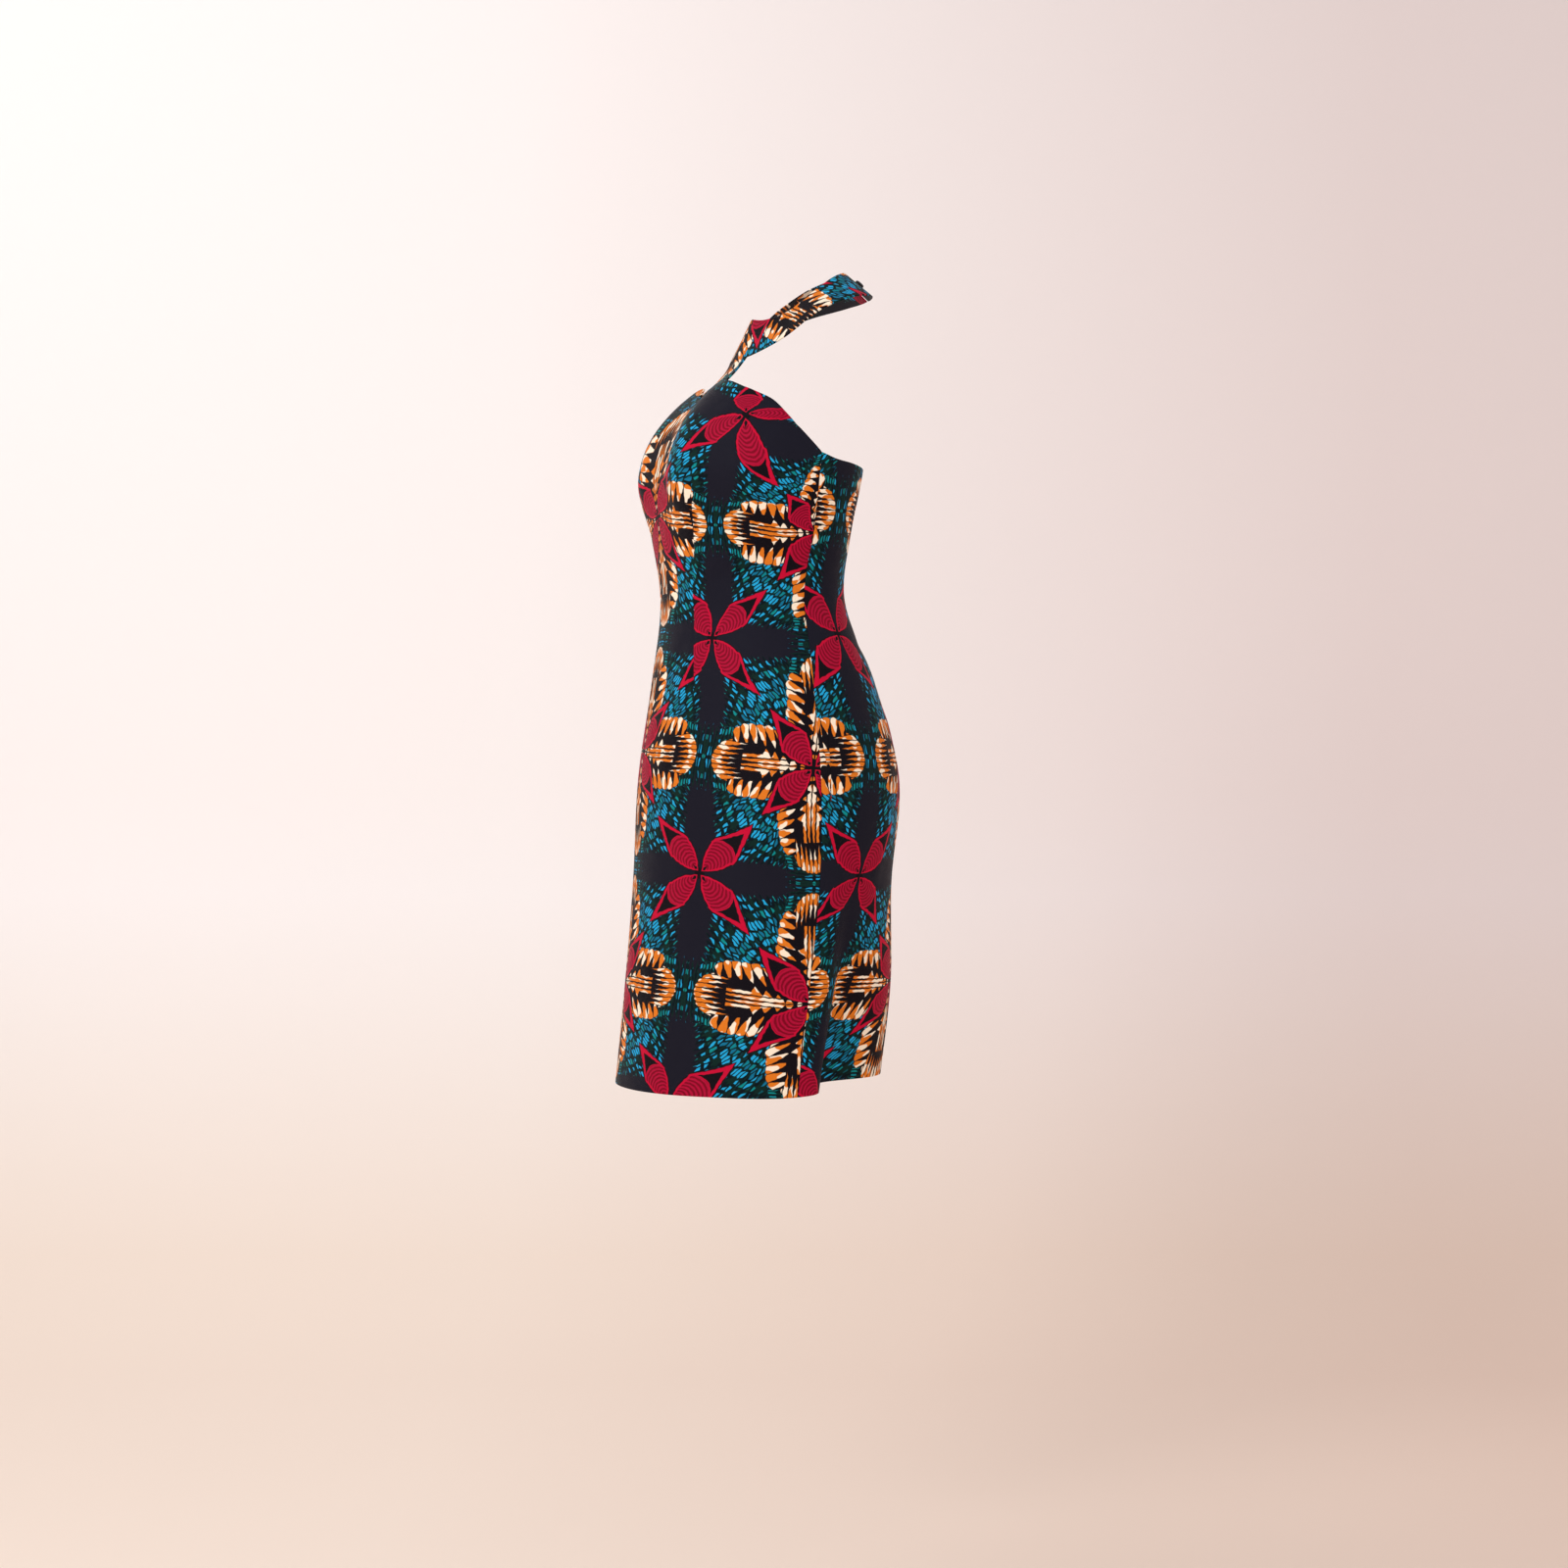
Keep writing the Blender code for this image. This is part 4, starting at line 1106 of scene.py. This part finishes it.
def coil_path(side, low, high):
    """A flattened spiral down the seam, whose turns lie between those of the other side."""
    turns = (high - low) / COIL_PITCH
    angle = np.arange(int(turns * COIL_STEPS)) * (2 * math.pi / COIL_STEPS)
    z = high - angle / (2 * math.pi) * COIL_PITCH - (0.0 if side > 0 else COIL_PITCH / 2)
    across = side * (COIL_TURN[0] * COIL_APART + COIL_TURN[0] * np.cos(angle))
    behind = TAPE_INWARD + TAPE_WALL + COIL_RADIUS + COIL_TURN[1] * (1.0 + np.sin(angle))
    degrees = CENTRE_BACK - degrees_for(1.0, CENTRE_BACK, z) * across
    return body_points(degrees, z) - behind[:, None] * body_normals(degrees, z)


# the tape's dark tone is the painted shade in its grooves, its light tone the painted highlight on its
# ribs
TAPE = woven("zip_tape_woven", colour("15181c"), colour("3a4048"), 0.0009, 0.85)
COIL = speckled("zip_coil_nylon", colour("101216"), colour("2a2e34"), 0.38, 2500.0)
METAL = metal("zip_metal_dark", colour("2b2c30"), colour("6b6a6c"), 0.34)
PLASTIC = speckled("button_glossy", colour("0b0a0d"), colour("1c1920"), 0.22, 260.0)
CORD_THREAD = speckled("cord_thread", colour("121318"), colour("34343c"), 0.62, 5200.0)

tape_low, tape_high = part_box("zip_tape")[0][2] + TAPE_MARGIN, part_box("zip_tape")[1][2] - TAPE_MARGIN
for side, seam in ((-1.0, "centre_left"), (1.0, "centre_right")):
    tape = seam_strip(f"zip_tape_{seam[7:]}", seam, side, TAPE_INWARD, TAPE_WALL, TAPE_HALF, tape_low,
                      tape_high, TAPE)
    coil = tube(f"zip_coil_{seam[7:]}", coil_path(-side, tape_low, tape_high), COIL_RADIUS, COIL_SIDES,
                COIL)
    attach(coil, "dress")
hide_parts("zip_tape")

for solid, material in (("zip_slider", METAL), ("zip_pull", METAL), ("button", PLASTIC)):
    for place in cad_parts[solid].material_slots:
        place.material = material


# ---------------- the collar
COLLAR_TURN = math.radians(15.0)        # how far the print is turned on the collar
COLLAR_CENTRE = (0.004, 0.030)          # where a flower's centre would lie, from the neck edge
COLLAR_ROWS = 12
BAND_EACH_SIDE = 56                     # columns of the band beyond the strap
STRAP_EACH_SIDE = 12
STRAP_COUNT = 2 * STRAP_EACH_SIDE + 1
STRAP_ROW = 0.004
STRAP_TUCK_MARGIN = 0.001
STRAP_EASE = 0.02                       # length of strap over which its rows become straight
COLLAR_SHOWN_WALL = 0.0018
COLLAR_BEVEL = 0.0005
BEVEL_ANGLE = math.radians(60.0)


def collar_angles():
    opening = math.degrees(COLLAR_OPENING / 2 / NECK_HALF_DEPTH)
    width, slope = collar_value("width", 0.0), collar_value("slope", 0.0)
    front_radius = NECK_HALF_DEPTH + float(width * np.cos(np.radians(slope)))
    edge = math.degrees(math.asin(STRAP_FLARE_HALF_WIDTH / front_radius))
    near = np.linspace(0.0, edge, STRAP_EACH_SIDE + 1)
    far = np.linspace(edge, CENTRE_BACK - opening, BAND_EACH_SIDE)
    half = np.concatenate([near, far[1:]])
    return np.concatenate([-half[:0:-1], half])


def third_corner(a, b, to_a, to_b):
    """The flat place at given distances from two flat places, to the left of the way between."""
    between = np.linalg.norm(b - a)
    x = (to_a ** 2 - to_b ** 2 + between ** 2) / (2 * between)
    y = math.sqrt(max(to_a ** 2 - x ** 2, 0.0))
    run = (b - a) / between
    return a + run * x + np.array([-run[1], run[0]]) * y


def flat_band(neck, outer):
    """The neck edge and the outer edge of the whole collar band laid flat, worked out from the
    left half and mirrored."""
    def apart(p, q):
        return np.linalg.norm(q - p)

    flat_neck = [np.array([0.0, 0.0])]
    flat_outer = [np.array([0.0, -apart(neck[0], outer[0])])]
    for i in range(len(neck) - 1):
        new_outer = third_corner(flat_neck[i], flat_outer[i], apart(neck[i], outer[i + 1]),
                                 apart(outer[i], outer[i + 1]))
        new_neck = third_corner(flat_neck[i], new_outer, apart(neck[i], neck[i + 1]),
                                apart(outer[i + 1], neck[i + 1]))
        flat_outer.append(new_outer)
        flat_neck.append(new_neck)
    flip = np.array([-1.0, 1.0])
    return [np.concatenate([np.array(half)[:0:-1] * flip, half]) for half in (flat_neck, flat_outer)]


def strap_surface(first_row):
    """Rows of the strap below the collar's edge, and how far down the strap each lies."""
    across = np.linspace(-1.0, 1.0, STRAP_COUNT)
    keys = [first_row]
    for y, z, half_width, bend in STRAP_PATH:
        x = across * half_width
        keys.append(np.stack([x, y + bend * x ** 2, np.full(STRAP_COUNT, z)], axis=-1))
    for drop in STRAP_TUCK_DROP:
        z = edge_height(FRONT_TOP_EDGE, 0.0) - drop
        here = degrees_for(STRAP_TUCK_HALF_WIDTH, 0.0, z) * across
        level = edge_height(FRONT_TOP_EDGE, here) - drop - STRAP_TUCK_MARGIN
        keys.append(body_points(here, level) - (PANEL_WALL + STRAP_TUCK_GAP) * body_normals(here, level))
    keys = np.array(keys)
    steps = np.linalg.norm(np.diff(keys[:, STRAP_EACH_SIDE], axis=0), axis=-1)
    along = np.concatenate([[0.0], np.cumsum(steps)])
    at = np.linspace(0.0, along[-1], int(along[-1] / STRAP_ROW) + 1)[1:]
    rows = np.stack([eased(along, values, at) for values in keys.reshape(len(keys), -1).T], axis=-1)
    return rows.reshape(len(at), STRAP_COUNT, 3), at


def flat_strap(strap, down, start):
    """The strap's rows laid flat, below the places where it starts on the flat band."""
    across = np.linalg.norm(np.diff(strap, axis=1), axis=-1).cumsum(axis=1)
    across = np.concatenate([np.zeros((len(strap), 1)), across], axis=1)
    across = across - across[:, STRAP_EACH_SIDE:STRAP_EACH_SIDE + 1]
    fade = np.clip(1.0 - down / STRAP_EASE, 0.0, 1.0)[:, None]
    middle = start[STRAP_EACH_SIDE, 1]
    return np.stack([across, middle - down[:, None] + (start[:, 1] - middle) * fade], axis=-1)


def collar_faces(count, first, strap_rows):
    """Faces of the band, and of the strap that hangs from its outer edge."""
    faces = grid_faces(COLLAR_ROWS + 1, count)[:, ::-1].tolist()
    above = np.arange(first, first + STRAP_COUNT) + COLLAR_ROWS * count
    for row in range(strap_rows):
        below = np.arange(STRAP_COUNT) + (COLLAR_ROWS + 1) * count + row * STRAP_COUNT
        faces += np.stack([below[:-1], below[1:], above[1:], above[:-1]], axis=-1).tolist()
        above = below
    return faces


def turned_flat(flat):
    """The collar's places in the print."""
    cosine, sine = math.cos(COLLAR_TURN), math.sin(COLLAR_TURN)
    x, y = (flat - np.array(COLLAR_CENTRE)).T
    return np.stack([x * cosine - y * sine, x * sine + y * cosine], axis=-1)


def make_collar():
    """The band and its strap in one shell."""
    degrees = collar_angles()
    middle = len(degrees) // 2
    on_strap = slice(middle - STRAP_EACH_SIDE, middle + STRAP_EACH_SIDE + 1)
    shares = np.linspace(0.0, 1.0, COLLAR_ROWS + 1)
    band = np.array([collar_points(degrees, share) for share in shares])
    flat_neck, flat_outer = flat_band(band[0, middle:], band[-1, middle:])
    flat = np.array([flat_neck + (flat_outer - flat_neck) * share for share in shares])
    strap, down = strap_surface(band[-1, on_strap])
    strap_flat = flat_strap(strap, down, flat[-1, on_strap])
    points = np.concatenate([band.reshape(-1, 3), strap.reshape(-1, 3)])
    flat = np.concatenate([flat.reshape(-1, 2), strap_flat.reshape(-1, 2)])
    faces = collar_faces(len(degrees), on_strap.start, len(strap))
    item = new_piece("collar_cloth", points, faces, CLOTHS, turned_flat(flat)[np.array(faces)])
    wall(item, COLLAR_SHOWN_WALL)
    bevel = item.modifiers.new("edge", "BEVEL")
    bevel.width = COLLAR_BEVEL
    bevel.segments = 2
    bevel.limit_method = "ANGLE"
    bevel.angle_limit = BEVEL_ANGLE
    applied(item)
    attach(item, "dress")
    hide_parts("collar")


make_collar()


# ---------------- the button's cord
CORD_RADIUS = 0.0007
CORD_STRAND = 0.00036
CORD_STRANDS = 3
CORD_TWIST = 0.0034
CORD_STEP = 0.00035
CORD_SIDES = 8
CORD_GUIDE = (0.0, 1.0, 0.0)
BUTTON_ACROSS = 0.0085
LOOP_ANCHOR = 0.0075
SHANK_RADIUS = 0.0014
LOOP_BEND = SHANK_RADIUS + SEAM_GAP + CORD_RADIUS


def collar_place(across, up, lift):
    """A place over the collar's outer face, from the nape opening and the middle of the band."""
    width, slope = (float(collar_value(name, CENTRE_BACK)) for name in ("width", "slope"))
    radius = NECK_HALF_DEPTH + 0.5 * width * math.cos(math.radians(slope))
    degrees = CENTRE_BACK - math.degrees(across / radius)
    down = 0.5 - up / width
    along = collar_points(degrees - 1.0, down) - collar_points(degrees + 1.0, down)
    fall = collar_points(degrees, down + 0.1) - collar_points(degrees, down - 0.1)
    outward = np.cross(along, fall)
    return collar_points(degrees, down) + lift * outward / np.linalg.norm(outward)


def cord_middle():
    """The cord's route: along the collar, round the button's shank and back."""
    leg = BUTTON_ACROSS + LOOP_ANCHOR
    bow = math.pi * LOOP_BEND
    distances = np.arange(0.0, 2 * leg + bow, CORD_STEP)
    places = []
    for d in distances:
        if d < leg:
            across, up = -LOOP_ANCHOR + d, LOOP_BEND
        elif d < leg + bow:
            a = math.pi / 2 - (d - leg) / LOOP_BEND
            across, up = BUTTON_ACROSS + LOOP_BEND * math.cos(a), LOOP_BEND * math.sin(a)
        else:
            across, up = BUTTON_ACROSS - (d - leg - bow), -LOOP_BEND
        places.append(collar_place(across, up, SEAM_GAP + CORD_RADIUS))
    return distances, np.array(places)


def make_cord():
    """Strands twisted together along the loop's own path."""
    distances, path = cord_middle()
    side, up = frame_along(path, CORD_GUIDE)
    for strand in range(CORD_STRANDS):
        angle = (distances / CORD_TWIST + strand / CORD_STRANDS)[:, None] * 2 * math.pi
        offset = (CORD_RADIUS - CORD_STRAND) * (np.cos(angle) * side + np.sin(angle) * up)
        item = tube(f"loop_strand_{strand + 1}", path + offset, CORD_STRAND, CORD_SIDES, CORD_THREAD)
        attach(item, "dress")
    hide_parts("button_loop")


make_cord()

# ---------------- studio
CAMERA_AZIMUTH = math.radians(72.0)
CAMERA_PLACE = (2.944, -0.972, -0.5478)
CAMERA_LENS = 63.4
SENSOR = 36.0
FLOOR = -1.46
SWEEP_REACH = (-4.5, 1.15)          # the floor's flat stretch, away from the camera
SWEEP_BEND = 0.9
SWEEP_TOP = 3.5
SWEEP_HALF_WIDTH = 7.0
WORLD_TONE = colour("fdfbfa")
WORLD_STRENGTH = 0.62

# Columns: name, place, where it points, size and power.
LIGHTS = (
    ("key", (1.9, -2.4, 0.8), (0.0, 0.0, -0.5), (1.4, 1.8), 42.0),
    ("fill", (2.6, 1.6, 0.2), (0.0, 0.0, -0.5), (1.4, 1.8), 16.0),
    ("wall", (-0.6, -1.9, 1.5), (-1.9, 0.2, 0.1), (1.6, 1.6), 17.0),
)


def placed(name, data, place, turn):
    item = bpy.data.objects.new(name, data)
    item.location = place
    item.rotation_euler = turn
    bpy.context.scene.collection.objects.link(item)
    return item


def add_camera():
    data = bpy.data.cameras.new("camera")
    data.lens = CAMERA_LENS
    data.sensor_width = SENSOR
    data.sensor_fit = "HORIZONTAL"
    bpy.context.scene.camera = placed("camera", data, CAMERA_PLACE, (math.pi / 2, 0.0, CAMERA_AZIMUTH))


def add_sweep():
    """A floor that curves up into a wall behind the part."""
    near, far = SWEEP_REACH
    bend = [(far + SWEEP_BEND * math.sin(a), FLOOR + SWEEP_BEND * (1 - math.cos(a)))
            for a in np.radians(np.arange(10, 91, 10))]
    profile = [(near, FLOOR), (far, FLOOR), *bend, (far + SWEEP_BEND, SWEEP_TOP)]
    across = (-SWEEP_HALF_WIDTH, 0.0, SWEEP_HALF_WIDTH)
    back = np.array([-math.sin(CAMERA_AZIMUTH), math.cos(CAMERA_AZIMUTH)])
    right = np.array([math.cos(CAMERA_AZIMUTH), math.sin(CAMERA_AZIMUTH)])
    points = [(*(back * depth + right * x), z) for depth, z in profile for x in across]
    item = new_piece("sweep", points, grid_faces(len(profile), len(across)).tolist(), (paper(right),))


def add_light(name, place, target, size, power):
    data = bpy.data.lights.new(name, "AREA")
    data.shape = "RECTANGLE"
    data.size, data.size_y = size
    data.energy = power
    placed(name, data, place, (Vector(target) - Vector(place)).to_track_quat("-Z", "Y").to_euler())


def add_world():
    world = bpy.data.worlds.new("studio")
    bpy.context.scene.world = world
    world.use_nodes = True
    back = world.node_tree.nodes["Background"]
    back.inputs["Color"].default_value = WORLD_TONE
    back.inputs["Strength"].default_value = WORLD_STRENGTH


bpy.context.scene.view_settings.view_transform = "Standard"
add_camera()
add_sweep()
add_world()
for light in LIGHTS:
    add_light(*light)
